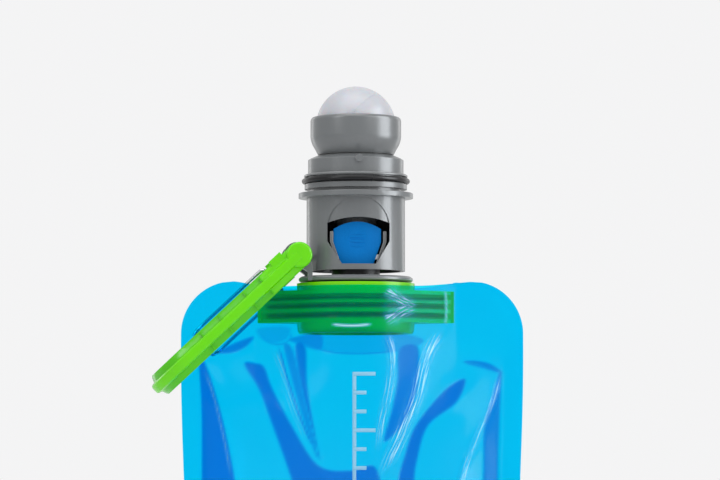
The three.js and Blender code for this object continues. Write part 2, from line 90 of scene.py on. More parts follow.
HEAD_HEIGHT = 0.235
soft_box("side_sheen", (0.98, -0.20, 0.42), (0, 0, HEAD_HEIGHT), 0.62, 1.3, 18, (0.92, 0.96, 1), False)
soft_box("side_fill", (0.9, -0.9, 0.9), (0, 0, HEAD_HEIGHT), 0.9, 0.9, 5, (1, 1, 1), True)
soft_box("left_sheen", (-0.8, -0.75, 0.75), (0, 0, HEAD_HEIGHT), 0.35, 0.5, 3, (1, 1, 1), False)
soft_box("left_rim", (-0.70, 0.95, 0.30), (0, 0, HEAD_HEIGHT), 0.22, 0.9, 0.9, (1, 1, 1), False)
soft_box("right_rim", (0.70, 0.95, 0.30), (0, 0, HEAD_HEIGHT), 0.22, 0.9, 0.9, (1, 1, 1), False)
soft_box("top_light", (-0.1, -0.25, 1.3), (0, 0, HEAD_HEIGHT), 1.0, 1.0, 7, (1, 1, 1), True)

bpy.ops.mesh.primitive_plane_add(size=9, location=(0, 0, 0))
floor = bpy.context.object
floor.name = "floor_sheet"
paper = bpy.data.materials.new("pale_paper")
paper.use_nodes = True
paper_shader = paper.node_tree.nodes["Principled BSDF"]
paper_shader.inputs["Base Color"].default_value = (0.93, 0.93, 0.935, 1)
paper_shader.inputs["Roughness"].default_value = 0.9
floor.data.materials.append(paper)

camera_lens = bpy.data.cameras.new("camera")
camera_lens.lens = 160.4
camera_lens.sensor_width = 36
camera = bpy.data.objects.new("camera", camera_lens)
scene.collection.objects.link(camera)
camera.location = (0.0016, -1.219, 0.159)
camera.rotation_euler = (Vector((0.0016, 0, 0.2313)) - camera.location).to_track_quat("-Z", "Y").to_euler()
scene.camera = camera


# ------------------------------------------------------------ pouch films
# Two sheets of clear cyan laminate, welded along their borders and round the neck fitment. The water
# presses them into a pillow, and the stiff fitment leaves creases and folds that fan out below it.

MM = 0.001
POUCH_TOP = 215.6
POUCH_SHIFT = -1.4
CORNER_TOP = 20
CORNER_BOTTOM = 10
SEAL = 7.5
BOAT_RADIUS = 22.4
BOAT_TIP = 37
FILM_THICKNESS = 0.3


def ease(t):
    """A smooth step from 0 to 1."""
    t = np.clip(t, 0, 1)
    return t * t * (3 - 2 * t)


def pouch_half_width(z):
    """Half the pouch's width at a height, with its waist and its rounded corners."""
    side = 65 - 2.4 * np.sin(np.pi * np.clip(z / 190, 0, 1)) ** 2
    top_centre = POUCH_TOP - CORNER_TOP
    above = np.maximum(0, z - top_centre)
    top = side - CORNER_TOP + np.sqrt(np.maximum(0, CORNER_TOP ** 2 - above ** 2))
    below = np.maximum(0, CORNER_BOTTOM - z)
    bottom = side - CORNER_BOTTOM + np.sqrt(np.maximum(0, CORNER_BOTTOM ** 2 - below ** 2))
    return np.minimum(top, bottom)


def boat_half_depth(x, radius, tip):
    """Half the thickness of the fitment's boat shape: a circle with a straight wing on each side."""
    tangent_x = radius ** 2 / tip
    tangent_y = math.sqrt(radius ** 2 - tangent_x ** 2)
    across = np.abs(x)
    arc = np.sqrt(np.maximum(0, radius ** 2 - across ** 2))
    wing = np.maximum(0, tangent_y * (tip - across) / (tip - tangent_x))
    return np.where(across < tangent_x, arc, wing)


def pouch_half_depth(x, z):
    """How far a film stands off the middle plane: a pillow below, which closes round the fitment above."""
    across = np.abs(x - POUCH_SHIFT)
    inside = pouch_half_width(np.minimum(z, POUCH_TOP - CORNER_TOP)) - SEAL
    bulge = 29 - 5 * ease((z - 40) / 150) - 2 * ease((20 - z) / 20)
    body = bulge * np.maximum(0, 1 - np.minimum(1, across / inside) ** 2.2) ** 0.75
    neck = boat_half_depth(x, BOAT_RADIUS + 0.7, BOAT_TIP + 1.2)
    blend = ease((z - 162.5) / 32)
    return 0.2 + body * (1 - blend) + neck * blend


def smooth_path(points, closed=False, steps=5):
    """A Catmull-Rom curve through points, as an array."""
    points = np.array(points, float)
    count = len(points)
    if closed:
        padded = np.vstack([points[-1], points, points[0], points[1]])
    else:
        padded = np.vstack([2 * points[0] - points[1], points, 2 * points[-1] - points[-2]])
    path = []
    for i in range(count if closed else count - 1):
        a, b, c, d = padded[i:i + 4]
        for t in np.arange(steps) / steps:
            path.append(0.5 * (2 * b + (c - a) * t + (2 * a - 5 * b + 4 * c - d) * t ** 2
                               + (3 * b - a - 3 * c + d) * t ** 3))
    if not closed:
        path.append(points[-1])
    return np.array(path)


def along(path, x, z):
    """Signed distance of each point from a path, and how far along the path it lies, from 0 to 1."""
    nearest = np.full(x.shape, 1e9)
    share = np.zeros(x.shape)
    sign = np.ones(x.shape)
    lengths = np.linalg.norm(np.diff(path, axis=0), axis=1)
    starts = np.concatenate([[0], np.cumsum(lengths)])
    for (a, b, length, start) in zip(path[:-1], path[1:], lengths, starts):
        direction = (b - a) / max(length, 1e-9)
        reach = np.clip((x - a[0]) * direction[0] + (z - a[1]) * direction[1], 0, length)
        away_x = x - a[0] - reach * direction[0]
        away_z = z - a[1] - reach * direction[1]
        gap = np.hypot(away_x, away_z)
        closer = gap < nearest
        nearest = np.where(closer, gap, nearest)
        share = np.where(closer, (start + reach) / starts[-1], share)
        sign = np.where(closer, np.where(away_x * direction[1] > away_z * direction[0], 1, -1), sign)
    return nearest * sign, share


def within(path, x, z, softness):
    """1 inside a closed path and 0 outside, with a soft edge."""
    inside = np.zeros(x.shape, bool)
    ring = np.vstack([path, path[0]])
    for a, b in zip(ring[:-1], ring[1:]):
        crosses = (a[1] > z) != (b[1] > z)
        slope = (b[0] - a[0]) / (b[1] - a[1] if b[1] != a[1] else 1e-9)
        inside ^= crosses & (x < a[0] + (z - a[1]) * slope)
    gap = np.abs(along(ring, x, z)[0])
    signed = np.where(inside, gap, -gap)
    return ease(signed / softness * 0.5 + 0.5)


# Folds in which the film leans away, with painted shade for the refraction in the water and the
# fitment's shadow, so that they look deep blue: how deep, and an outline in X and Z.
FRONT_SHADED_FOLDS = [
    (1.0, [(-59.4, 184.5), (-57, 183.8), (-51.5, 168), (-48, 154), (-45, 138), (-42, 112), (-46, 80), (-54, 60),
           (-58, 100), (-58.2, 163)]),
    (0.95, [(-42, 183.8), (-38, 184.2), (-34.5, 182.6), (-31.5, 175), (-24, 161), (-14, 146), (-2, 144),
            (7, 145.5), (9, 134), (2, 118), (-7, 104), (-17, 116), (-23.5, 140), (-31, 161), (-36, 174)]),
    (0.6, [(-27, 191), (-24, 190), (-21.5, 181), (-18, 166), (-14.4, 150), (-16, 153), (-20.6, 167),
           (-24.4, 180)]),
    (0.85, [(-22.6, 190.6), (-18.8, 190.4), (-18.2, 176), (-15.6, 160), (-13.4, 148.4), (-15.4, 157),
            (-20, 174)]),
    (0.85, [(16.2, 189.6), (23, 190.6), (23.4, 180), (22, 171), (17.4, 161), (10.6, 155), (13.6, 167),
            (15.6, 178)]),
    (0.95, [(41.2, 178), (37.6, 169.4), (27, 161), (23, 149), (21.6, 138), (22, 112), (15, 92), (14, 118),
            (15.8, 140), (18.4, 150), (21.4, 159), (27, 167), (34.8, 175.2)]),
    (0.75, [(55, 181.4), (51.4, 171), (48.2, 160), (47.8, 140), (44, 110), (50, 70), (54, 92), (53.6, 140),
            (54.2, 163)]),
    (0.8, [(-53, 188.4), (-46, 192), (-39, 194.4), (-41.6, 190.8), (-46.6, 188.4)]),
    (0.8, [(41, 184.8), (47, 183.4), (55.4, 180.6), (51, 184), (45, 185.2)]),
    (0.65, [(-24.4, 193.6), (-13.4, 195.4), (-12.6, 189.2), (-18, 190.3), (-24.2, 192.4)]),
    (0.42, [(24.6, 193.6), (11.4, 195.6), (11.4, 188.6), (17.4, 189.3), (23.8, 191)]),
    (0.26, [(-13.6, 196), (11.6, 196), (12, 189), (8, 188.1), (0, 187.8), (-7, 188), (-12.6, 189.1)]),
    (0.3, [(-37, 197.6), (-26, 198), (-24.6, 195.4), (-27, 192.6), (-32, 191.8), (-36, 194)]),
]
# Fine dark lines of painted shade on the front: the water line, the bubble's edge and sharp folds.
FRONT_SHADE_LINES = [
    (0.5, 0.45, [(-24.6, 192.6), (-18, 190.2), (-12.6, 189), (-7, 187.9), (0, 187.6), (8, 187.9), (17.4, 189.2),
                 (24.4, 191.4)]),
    (0.4, 0.4, [(-36.6, 196), (-34, 193), (-31, 191.6), (-28, 191.4), (-25, 193), (-23.6, 196.4)]),
    (0.7, 0.45, [(-29.4, 191.4), (-28, 187), (-25.6, 178.2), (-20.5, 163.6), (-15.3, 151.6)]),
    (0.55, 0.4, [(-22.4, 190), (-20.6, 176), (-17, 161), (-14, 150)]),
    (0.6, 0.5, [(41, 184.6), (47.5, 183), (55.4, 180.8)]),
]
# Painted shade on the back sheet, as on the front: how deep, and an outline in X and Z.
BACK_SHADED_FOLDS = [
    (0.7, [(-46, 120), (-41, 100), (-46, 70), (-54, 60), (-55, 90)]),
    (0.7, [(20, 126), (30, 110), (24, 84), (12, 92), (12, 112)]),
]

# Bundles of fine white threads of painted highlight: how strong, how wide, and the path of the bundle's middle.
HIGHLIGHT_THREADS = [
    (0.8, 1.5, [(11, 196.5), (13.6, 187), (12.4, 175), (9.4, 161), (8, 149)]),
    (1.0, 2.2, [(33, 198), (28.6, 191), (25.4, 183), (22.4, 171), (17, 158), (12, 147), (8, 138)]),
    (0.85, 0.9, [(54.8, 181), (51, 169), (45.5, 156), (41, 145), (37, 130)]),
    (0.85, 2.1, [(10.5, 213.4), (14, 211), (18, 207.8), (23, 205.4)]),
    (0.8, 2.1, [(10.5, 199.8), (14, 201.6), (18, 203.8), (23, 205.4)]),
    (0.5, 1.2, [(-31, 190), (-27.6, 181), (-23, 167), (-17.5, 153)]),
]
# Bundles of fine wrinkles: how wide, and the path of the bundle's middle.
CRINKLES = [
    (3.6, [(33, 199), (28, 190), (22, 171), (12, 148), (8, 130)]),
    (3.0, [(12, 197), (13.4, 186), (10.6, 170), (8, 150)]),
    (1.8, [(54, 180), (50, 166), (42, 148)]),
    (2.0, [(-26, 190), (-19, 168), (-13, 148)]),
]
# Single soft gleams, painted highlights in the film's colour: how strong, how wide, and the path.
GLEAMS = [
    (0.95, 0.42, [(-9.6, 198.6), (-5, 198.1), (0, 198), (6.4, 198.5)]),
    (0.4, 0.4, [(33.8, 214), (34.2, 205), (33.8, 198)]),
    (0.3, 0.5, [(-57.6, 183), (-53, 170), (-49, 154), (-46.4, 140)]),
]

# Creases stand up from the film: path, height and width.
FRONT_CREASES = [
    ([(10.9, 196), (13.9, 187), (12.2, 175), (9.2, 161), (7.8, 150), (10.5, 139)], 0.7, 1.3),
    ([(33.9, 207), (33.9, 198), (27.8, 190), (23.8, 171), (14, 149), (12, 132)], 1.1, 1.6),
    ([(31, 197), (24.6, 187), (20.6, 171), (11.6, 150), (7, 138)], 0.6, 1.1),
    ([(55.2, 181), (51, 167), (45, 154), (40.6, 145), (36, 128)], 1.0, 1.5),
    ([(-28.4, 191), (-20.6, 168), (-13.8, 148), (-6, 139)], 0.8, 1.3),
    ([(-37, 197), (-33, 192.6), (-28.4, 191), (-24, 194)], 0.5, 1.0),
    ([(-42, 184), (-36, 174), (-31, 161), (-24, 141), (-20, 120)], 0.8, 1.8),
    ([(41, 178), (37.6, 169), (27, 161), (22.8, 149), (21.6, 138), (24, 110)], 0.8, 1.8),
    ([(41, 184.6), (47.5, 182.8), (55.4, 180.8)], 0.7, 1.0),
    ([(-30, 120), (-8, 108), (12, 112), (30, 104)], 0.8, 3.0),
    ([(-48, 60), (-30, 50), (-10, 52)], 0.8, 3.0),
    ([(10, 44), (30, 40), (50, 52)], 0.8, 3.0),
]
BACK_CREASES = [
    ([(-33, 198), (-27, 186), (-20, 168), (-12, 148)], 0.9, 1.6),
    ([(33, 198), (28, 186), (22, 170), (12, 150)], 0.9, 1.6),
    ([(8, 196), (6, 180), (2, 160)], 0.6, 1.3),
    ([(-54, 180), (-48, 166), (-42, 150)], 0.8, 1.6),
    ([(54, 178), (49, 164), (44, 150)], 0.8, 1.6),
    ([(-30, 110), (-5, 100), (25, 108)], 0.8, 3.0),
    ([(-40, 50), (-10, 44), (30, 52)], 0.8, 3.0),
]


def feed(tree, socket, value):
    """Links value to the socket where it is a socket itself, and otherwise sets it."""
    if isinstance(value, bpy.types.NodeSocket):
        tree.links.new(value, socket)
    else:
        socket.default_value = value


def added(tree, kind, **values):
    """A new node with these input values or links; a space in a socket's name is given as an underscore."""
    node = tree.nodes.new("ShaderNode" + kind)
    for title, value in values.items():
        feed(tree, node.inputs[title.replace("_", " ")], value)
    return node


def math_node(tree, operation, *values, clamp=False):
    node = added(tree, "Math")
    node.operation = operation
    node.use_clamp = clamp
    for socket, value in zip(node.inputs, values):
        feed(tree, socket, value)
    return node.outputs[0]


def colour_mix(tree, factor, first, second):
    node = added(tree, "Mix")
    node.data_type = "RGBA"
    for title, value in (("Factor", factor), ("A", first), ("B", second)):
        feed(tree, node.inputs[title], value)
    return node.outputs["Result"]


def shader_mix(tree, factor, first, second):
    node = added(tree, "MixShader")
    for socket, value in zip(node.inputs, (factor, first.outputs[0], second.outputs[0])):
        feed(tree, socket, value)
    return node


def noise(tree, vector, scale, detail=2, distortion=0):
    node = added(tree, "TexNoise", Vector=vector, Scale=scale, Detail=detail, Distortion=distortion)
    return node.outputs["Fac"]


def attribute(tree, title):
    node = added(tree, "Attribute")
    node.attribute_name = title
    return node.outputs["Fac"]


def shader_group(name, inputs, outputs):
    """A new node group with these named sockets: the group, the values given to it and its results."""
    group = bpy.data.node_groups.new(name, "ShaderNodeTree")
    for in_out, sockets in (("INPUT", inputs), ("OUTPUT", outputs)):
        for title, kind in sockets:
            group.interface.new_socket(title, in_out=in_out, socket_type="NodeSocket" + kind)
    return group, group.nodes.new("NodeGroupInput").outputs, group.nodes.new("NodeGroupOutput").inputs


def film_group():
    """Shader group: the colour that light keeps after one surface of the film."""
    group, given, result = shader_group(
        "film_tint", [("Clear Tint", "Color"), ("Painted Shade Tint", "Color"), ("Fold And Shade", "Float"), ("Mottle", "Float")],
        [("Tint", "Color")])
    place = added(group, "TexCoord").outputs["Object"]
    uneven = math_node(group, "MULTIPLY", noise(group, place, 38, detail=3), given["Mottle"])
    # Where folds and shade are marked, the darker tint is mixed in: painted shade.
    folded = math_node(group, "ADD", given["Fold And Shade"], uneven, clamp=True)
    feed(group, result["Tint"], colour_mix(group, folded, given["Clear Tint"], given["Painted Shade Tint"]))
    return group


FILM_CLEAR = (0.0, 0.885, 0.995, 1)
# The darker tint is painted shade, for the folds, the water line and the fitment's grooves.
FILM_PAINTED_SHADE = (0.0, 0.50, 0.88, 1)
FILM_MILK = (0.0, 0.52, 0.88, 1)
# The white is painted highlight, for the threads and gleams.
FILM_PAINTED_HIGHLIGHT = (0.72, 0.90, 0.97, 1)


def film_material(name, wrinkle):
    """Tinted clear laminate with a glossy face; fine wrinkles run where the crinkle attribute is high."""
    made = bpy.data.materials.new(name)
    made.use_nodes = True
    tree = made.node_tree
    tree.nodes.clear()
    tint = tree.nodes.new("ShaderNodeGroup")
    tint.node_tree = bpy.data.node_groups.get("film_tint") or film_group()
    for title, value in (("Clear Tint", FILM_CLEAR), ("Painted Shade Tint", FILM_PAINTED_SHADE), ("Mottle", 0.06),
                         ("Fold And Shade", attribute(tree, "fold_and_shade"))):
        feed(tree, tint.inputs[title], value)
    clear = added(tree, "BsdfTransparent", Color=tint.outputs["Tint"])

    # Fine wrinkles run down the creases, over a weak dimpling of the whole film.
    place = added(tree, "TexCoord").outputs["Object"]
    stretched = added(tree, "Mapping", Vector=place, Rotation=(0, math.radians(-22), 0), Scale=(700, 60, 70))
    wrinkles = noise(tree, stretched.outputs["Vector"], 1, distortion=0.6)
    creased = math_node(tree, "MULTIPLY", wrinkles, attribute(tree, "crinkle"))
    dimpled = math_node(tree, "MULTIPLY_ADD", noise(tree, place, 90), 0.10, creased)
    bump = added(tree, "Bump", Strength=wrinkle, Distance=0.0012, Height=dimpled)

    # The laminate is a little milky, and painted highlights whiten it in threads and gleams.
    bundle = added(tree, "CombineXYZ", X=attribute(tree, "across_threads"), Y=attribute(tree, "along_threads"))
    threads = added(tree, "MapRange", Value=noise(tree, bundle.outputs[0], 1.7, distortion=0.12),
                    From_Min=0.47, From_Max=0.64, To_Min=0.16)
    painted_threads = math_node(tree, "MULTIPLY", threads.outputs["Result"], attribute(tree, "thread_highlight"))
    bright = math_node(tree, "MAXIMUM", painted_threads, attribute(tree, "gleam"))
    body = added(tree, "BsdfPrincipled", Roughness=0.35,
                 Base_Color=colour_mix(tree, bright, FILM_MILK, FILM_PAINTED_HIGHLIGHT))
    milky = shader_mix(tree, math_node(tree, "MULTIPLY_ADD", bright, 0.75, 0.03, clamp=True), clear, body)

    # Only a surface that the ray meets from the front reflects, or light is trapped inside the film.
    sheen = added(tree, "BsdfGlossy", Color=(0.9, 0.97, 1, 1), Roughness=0.13, Normal=bump.outputs["Normal"])
    edge = added(tree, "Fresnel", IOR=1.2, Normal=bump.outputs["Normal"]).outputs[0]
    entering = math_node(tree, "SUBTRACT", 1, added(tree, "NewGeometry").outputs["Backfacing"])
    polish = math_node(tree, "MULTIPLY_ADD", attribute(tree, "matte"), -0.85, 1.0)
    polish = math_node(tree, "MULTIPLY", polish, entering)
    gloss = math_node(tree, "MULTIPLY", math_node(tree, "MINIMUM", edge, 0.4), polish)
    out = added(tree, "OutputMaterial")
    tree.links.new(shader_mix(tree, gloss, milky, sheen).outputs[0], out.inputs["Surface"])
    return made


FILM_COLUMNS = 176
FILM_ROWS = 248
DENSE_FROM = 128  # height above which the rows lie closer together
SPARSE_SHARE = 0.3  # share of the rows below that height
GROOVE_HEIGHTS = (202.2, 205.8, 209.3)


def film_sheet(name, side, shaded_folds, creases, wrinkle):
    """One sheet of the pouch; side is -1 for the front and 1 for the back."""
    bpy.ops.object.select_all(action="DESELECT")
    bpy.ops.mesh.primitive_grid_add(x_subdivisions=FILM_COLUMNS, y_subdivisions=FILM_ROWS, size=2)
    sheet = bpy.context.object
    sheet.name = name
    count = len(sheet.data.vertices)
    flat = np.empty(count * 3)
    sheet.data.vertices.foreach_get("co", flat)
    across, up = flat.reshape(-1, 3)[:, 0], flat.reshape(-1, 3)[:, 1] * 0.5 + 0.5
    z = np.where(up < SPARSE_SHARE, up / SPARSE_SHARE * DENSE_FROM,
                 DENSE_FROM + (up - SPARSE_SHARE) / (1 - SPARSE_SHARE) * (POUCH_TOP - DENSE_FROM))
    x = POUCH_SHIFT + across * pouch_half_width(z)
    depth = pouch_half_depth(x, z)
    fold_and_shade = np.zeros(count)
    for deepness, outline in shaded_folds:
        fold_and_shade = np.maximum(fold_and_shade, deepness * within(smooth_path(outline, closed=True), x, z, 0.8))
    for deepness, width, path in FRONT_SHADE_LINES if side < 0 else []:
        gap, share = along(smooth_path(path), x, z)
        faded = ease(share * 8) * ease((1 - share) * 8)
        fold_and_shade = np.maximum(fold_and_shade, deepness * faded * np.exp(-(gap / width) ** 2))
    # Between the fitment's ribs the film bridges grooves, darkened with painted shade.
    for groove in GROOVE_HEIGHTS:
        fold_and_shade = np.maximum(fold_and_shade, 0.62 * np.exp(-((z - groove) / 0.85) ** 2) * ease((34.5 - np.abs(x)) / 1.5))
    border = np.minimum((1 - np.abs(across)) * pouch_half_width(z), POUCH_TOP - z)
    inner = ease((border - SEAL) / 5)
    depth -= 0.5 * fold_and_shade * inner
    for path, height, width in creases:
        gap, share = along(smooth_path(path), x, z)
        taper = ease(share * 6) * ease((1 - share) * 5)
        depth += 0.6 * height * taper * np.exp(-(gap / width) ** 2) * inner
    # Shallow dents from the water's weight and from handling.
    dents = (np.sin(x * 0.21 + z * 0.05) * np.sin(z * 0.11 - x * 0.03) * 0.4
             + np.sin(x * 0.37 - z * 0.13 + 1.2) * np.sin(z * 0.07 + 0.5) * 0.2)
    depth += dents * inner * ease((184 - z) / 12)
    # The weld border is stamped flat, with a faint ripple.
    depth += 0.12 * np.sin(z * 0.9) * ease(1 - border / SEAL) * ease((border - 0.6) / 2)
    # Beside the fitment the top edge sags a little.
    dip = 2.3 * ease(np.where(x < 0, (48 + x) / 16, (50 - x) / 30)) * ease((z - 204) / 11.6)
    crinkle = np.zeros(count)
    for width, path in CRINKLES:
        gap, share = along(smooth_path(path), x, z)
        crinkle = np.maximum(crinkle, np.exp(-(gap / width) ** 2))
    # Where the film is stretched over the fitment's corners and along its creases, painted highlights whiten it
    # in fine threads.
    thread_highlight, across_threads, along_threads = np.zeros(count), np.zeros(count), np.zeros(count)
    for strength, width, path in HIGHLIGHT_THREADS:
        gap, share = along(smooth_path(path), x, z)
        here = strength * ease(share * 7) * ease((1 - share) * 4) * np.exp(-(gap / width) ** 2)
        stronger = here > thread_highlight
        thread_highlight = np.where(stronger, here, thread_highlight)
        across_threads = np.where(stronger, gap, across_threads)
        along_threads = np.where(stronger, 0.4 * share * len(path), along_threads)
    if side > 0:
        thread_highlight *= 0.3
    gleam = np.zeros(count)
    for strength, width, path in GLEAMS if side < 0 else []:
        gap, share = along(smooth_path(path), x, z)
        here = strength * ease(share * 6) * ease((1 - share) * 6) * np.exp(-(gap / width) ** 2)
        gleam = np.maximum(gleam, here)
    # The welds are dull, and so are the flanks and the tightly stretched upper part.
    matte = np.maximum(ease((SEAL + 1 - border) / 2), 0.9 * ease((z - 135) / 40))
    matte = np.maximum(matte, 0.85 * ease((np.abs(x) - 42) / 6))
    placed = np.stack([x, side * np.maximum(depth, 0.2), z - dip], axis=1) * MM
    sheet.data.vertices.foreach_set("co", placed.ravel())
    looks = {"fold_and_shade": fold_and_shade, "crinkle": crinkle, "thread_highlight": thread_highlight, "gleam": gleam, "matte": matte,
             "across_threads": across_threads, "along_threads": along_threads}
    for title, values in looks.items():
        layer = sheet.data.attributes.new(title, "FLOAT", "POINT")
        layer.data.foreach_set("value", values.astype(np.float32))
    if side > 0:
        bpy.ops.object.mode_set(mode="EDIT")
        bpy.ops.mesh.select_all(action="SELECT")
        bpy.ops.mesh.flip_normals()
        bpy.ops.object.mode_set(mode="OBJECT")
    thick = sheet.modifiers.new("laminate", "SOLIDIFY")
    thick.thickness = FILM_THICKNESS * MM
    thick.offset = 1
    bpy.ops.object.modifier_apply(modifier=thick.name)
    bpy.ops.object.shade_smooth()
    sheet.data.materials.append(film_material(name + "_laminate", wrinkle))
    return sheet


front_film = film_sheet("front_film", -1, FRONT_SHADED_FOLDS, FRONT_CREASES, 0.9)
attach(front_film, "bottle")
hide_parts("pouch_front_film")

back_film = film_sheet("back_film", 1, BACK_SHADED_FOLDS, BACK_CREASES, 0.5)
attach(back_film, "bottle")
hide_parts("pouch_back_film")


# ------------------------------------------------------------ printed scale
# A plain ladder of volume marks is screen-printed in translucent white on the front film. The ink is
# a very thin layer that follows the film.

ink = bpy.data.materials.new("white_ink")
ink.use_nodes = True
ink_tree = ink.node_tree
ink_place = added(ink_tree, "TexCoord").outputs["Object"]
ink_shade = colour_mix(ink_tree, noise(ink_tree, ink_place, 900), (0.38, 0.70, 0.86, 1), (0.50, 0.76, 0.88, 1))
ink_face = ink_tree.nodes["Principled BSDF"]
ink_face.inputs["Roughness"].default_value = 0.5
feed(ink_tree, ink_face.inputs["Base Color"], ink_shade)
ink_body = shader_mix(ink_tree, 0.3, ink_face, added(ink_tree, "BsdfTranslucent", Color=ink_shade))
ink_cover = shader_mix(ink_tree, 0.72, added(ink_tree, "BsdfTransparent", Color=(0.7, 0.95, 1, 1)), ink_body)
ink_tree.links.new(ink_cover.outputs[0], ink_tree.nodes["Material Output"].inputs["Surface"])

MARK_LEFT = -1.2
MARK_TOP = 180
MARK_STEP = 7.0
MARK_COUNT = 18
LONG_MARK = 8.6
SHORT_MARK = 5.2
MARK_HALF = 0.7
SPINE_WIDTH = 1.4
INK_THICKNESS = 0.05
IN_FRONT = -40  # the marks start this far out and are pressed onto the film
mark_corners, mark_faces = [], []
for row in range(MARK_COUNT):
    z = MARK_TOP - row * MARK_STEP
    length = LONG_MARK if row % 3 == 0 else SHORT_MARK
    bars = [(MARK_LEFT, MARK_LEFT + length, z - MARK_HALF, z + MARK_HALF)]
    if row < MARK_COUNT - 1:
        bars.append((MARK_LEFT, MARK_LEFT + SPINE_WIDTH, z - MARK_STEP + MARK_HALF, z - MARK_HALF))
    for left, right, low, high in bars:
        columns = max(2, round((right - left) / MARK_HALF))
        rows = max(2, round((high - low) / MARK_HALF))
        first = len(mark_corners)
        for j in range(rows + 1):
            for i in range(columns + 1):
                mark_corners.append((left + (right - left) * i / columns, IN_FRONT,
                                     low + (high - low) * j / rows))
        for j in range(rows):
            for i in range(columns):
                corner = first + j * (columns + 1) + i
                mark_faces.append((corner, corner + 1, corner + columns + 2, corner + columns + 1))
mark_mesh = bpy.data.meshes.new("volume_scale")
mark_mesh.from_pydata([tuple(MM * value for value in corner) for corner in mark_corners], [], mark_faces)
marks = bpy.data.objects.new("volume_scale", mark_mesh)
scene.collection.objects.link(marks)
bpy.ops.object.select_all(action="DESELECT")
marks.select_set(True)
bpy.context.view_layer.objects.active = marks
press = marks.modifiers.new("press", "SHRINKWRAP")
press.target = front_film
press.wrap_method = "PROJECT"
press.use_project_y = True
press.use_positive_direction = True
press.offset = 0.06 * MM
bpy.ops.object.modifier_apply(modifier=press.name)
bpy.ops.object.mode_set(mode="EDIT")
bpy.ops.mesh.select_all(action="SELECT")
bpy.ops.mesh.remove_doubles(threshold=1e-6)
bpy.ops.object.mode_set(mode="OBJECT")
ink_layer = marks.modifiers.new("ink", "SOLIDIFY")
ink_layer.thickness = INK_THICKNESS * MM
ink_layer.offset = 0
bpy.ops.object.modifier_apply(modifier=ink_layer.name)
bpy.ops.object.shade_smooth()
marks.data.materials.append(ink)
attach(marks, "bottle")

# ------------------------------------------------------------ neck fitment
# One glossy green moulding: a round threaded neck on a boat-shaped base whose ribs are welded
# between the films. A thin fin at each end of the boat closes the weld.

NECK_R = 22.4
NECK_BORE = 18.3
NECK_BOTTOM = 195.6
NECK_TOP = 214.6
BOAT_LOW = 199.7
BOAT_HIGH = 211.6
RIB_HEIGHTS = (200.35, 204.0, 207.6, 210.95)
RIB_HALF = 0.75
GROOVE_DEPTH = 2.4
MOUTH_R = 13.8
HEAD_YAW = 4.1  # degrees by which the head, the ring and the carabiner are turned on the neck


def only(piece):
    """Makes piece the one selected and active object."""
    bpy.ops.object.select_all(action="DESELECT")
    piece.select_set(True)
    bpy.context.view_layer.objects.active = piece


def drawn(name, points, edges, faces):
    """Points in millimetres, drawn as a new object."""
    mesh = bpy.data.meshes.new(name)
    mesh.from_pydata([tuple(MM * value for value in point) for point in points], edges, faces)
    piece = bpy.data.objects.new(name, mesh)
    scene.collection.objects.link(piece)
    only(piece)
    return piece


def closed_up(piece, merge=True):
    """Merges doubled points and turns all faces outwards."""
    only(piece)
    bpy.ops.object.mode_set(mode="EDIT")
    bpy.ops.mesh.select_all(action="SELECT")
    if merge:
        bpy.ops.mesh.remove_doubles(threshold=1e-7)
    bpy.ops.mesh.normals_make_consistent(inside=False)
    bpy.ops.object.mode_set(mode="OBJECT")
    return piece


def rounded(piece, width, segments=2, angle=35):
    """Rounds the piece's sharp edges, gives them its last material, and smooths what is left."""
    if width:
        edge = piece.modifiers.new("rounding", "BEVEL")
        edge.width = width * MM
        edge.segments = segments
        edge.limit_method = "ANGLE"
        edge.angle_limit = math.radians(angle)
        edge.use_clamp_overlap = True
        edge.material = len(piece.data.materials) - 1
        only(piece)
        bpy.ops.object.modifier_apply(modifier=edge.name)
    only(piece)
    bpy.ops.object.shade_smooth_by_angle(angle=math.radians(40))
    even = piece.modifiers.new("even_shading", "WEIGHTED_NORMAL")
    even.keep_sharp = True
    bpy.ops.object.modifier_apply(modifier=even.name)
    return piece


def spun(name, outline, rounding=0.2, steps=120):
    """An outline of radius and height, spun round the neck's axis."""
    count = len(outline)
    edges = [(i, (i + 1) % count) for i in range(count) if outline[i][0] or outline[(i + 1) % count][0]]
    piece = drawn(name, [(r, 0, z) for r, z in outline], edges, [])
    bpy.ops.object.mode_set(mode="EDIT")
    bpy.ops.mesh.select_all(action="SELECT")
    bpy.ops.mesh.spin(steps=steps, angle=2 * math.pi, center=(0, 0, 0), axis=(0, 0, 1))
    bpy.ops.object.mode_set(mode="OBJECT")
    closed_up(piece)
    return rounded(piece, rounding) if rounding else piece


def raised(name, outline, low, high, facing=False):
    """An outline extruded from low to high: upwards, or along Y when facing is true."""
    place = (lambda a, b, c: (a, c, b)) if facing else (lambda a, b, c: (a, b, c))
    piece = drawn(name, [place(a, b, low) for a, b in outline], [], [tuple(range(len(outline)))])
    bpy.ops.object.mode_set(mode="EDIT")
    bpy.ops.mesh.select_all(action="SELECT")
    shift = (0, (high - low) * MM, 0) if facing else (0, 0, (high - low) * MM)
    bpy.ops.mesh.extrude_region_move(TRANSFORM_OT_translate={"value": shift})
    bpy.ops.object.mode_set(mode="OBJECT")
    return closed_up(piece, merge=False)


def block(name, low, high):
    """A plain box between two corners."""
    outline = [(low[0], low[1]), (high[0], low[1]), (high[0], high[1]), (low[0], high[1])]
    return raised(name, outline, low[2], high[2])


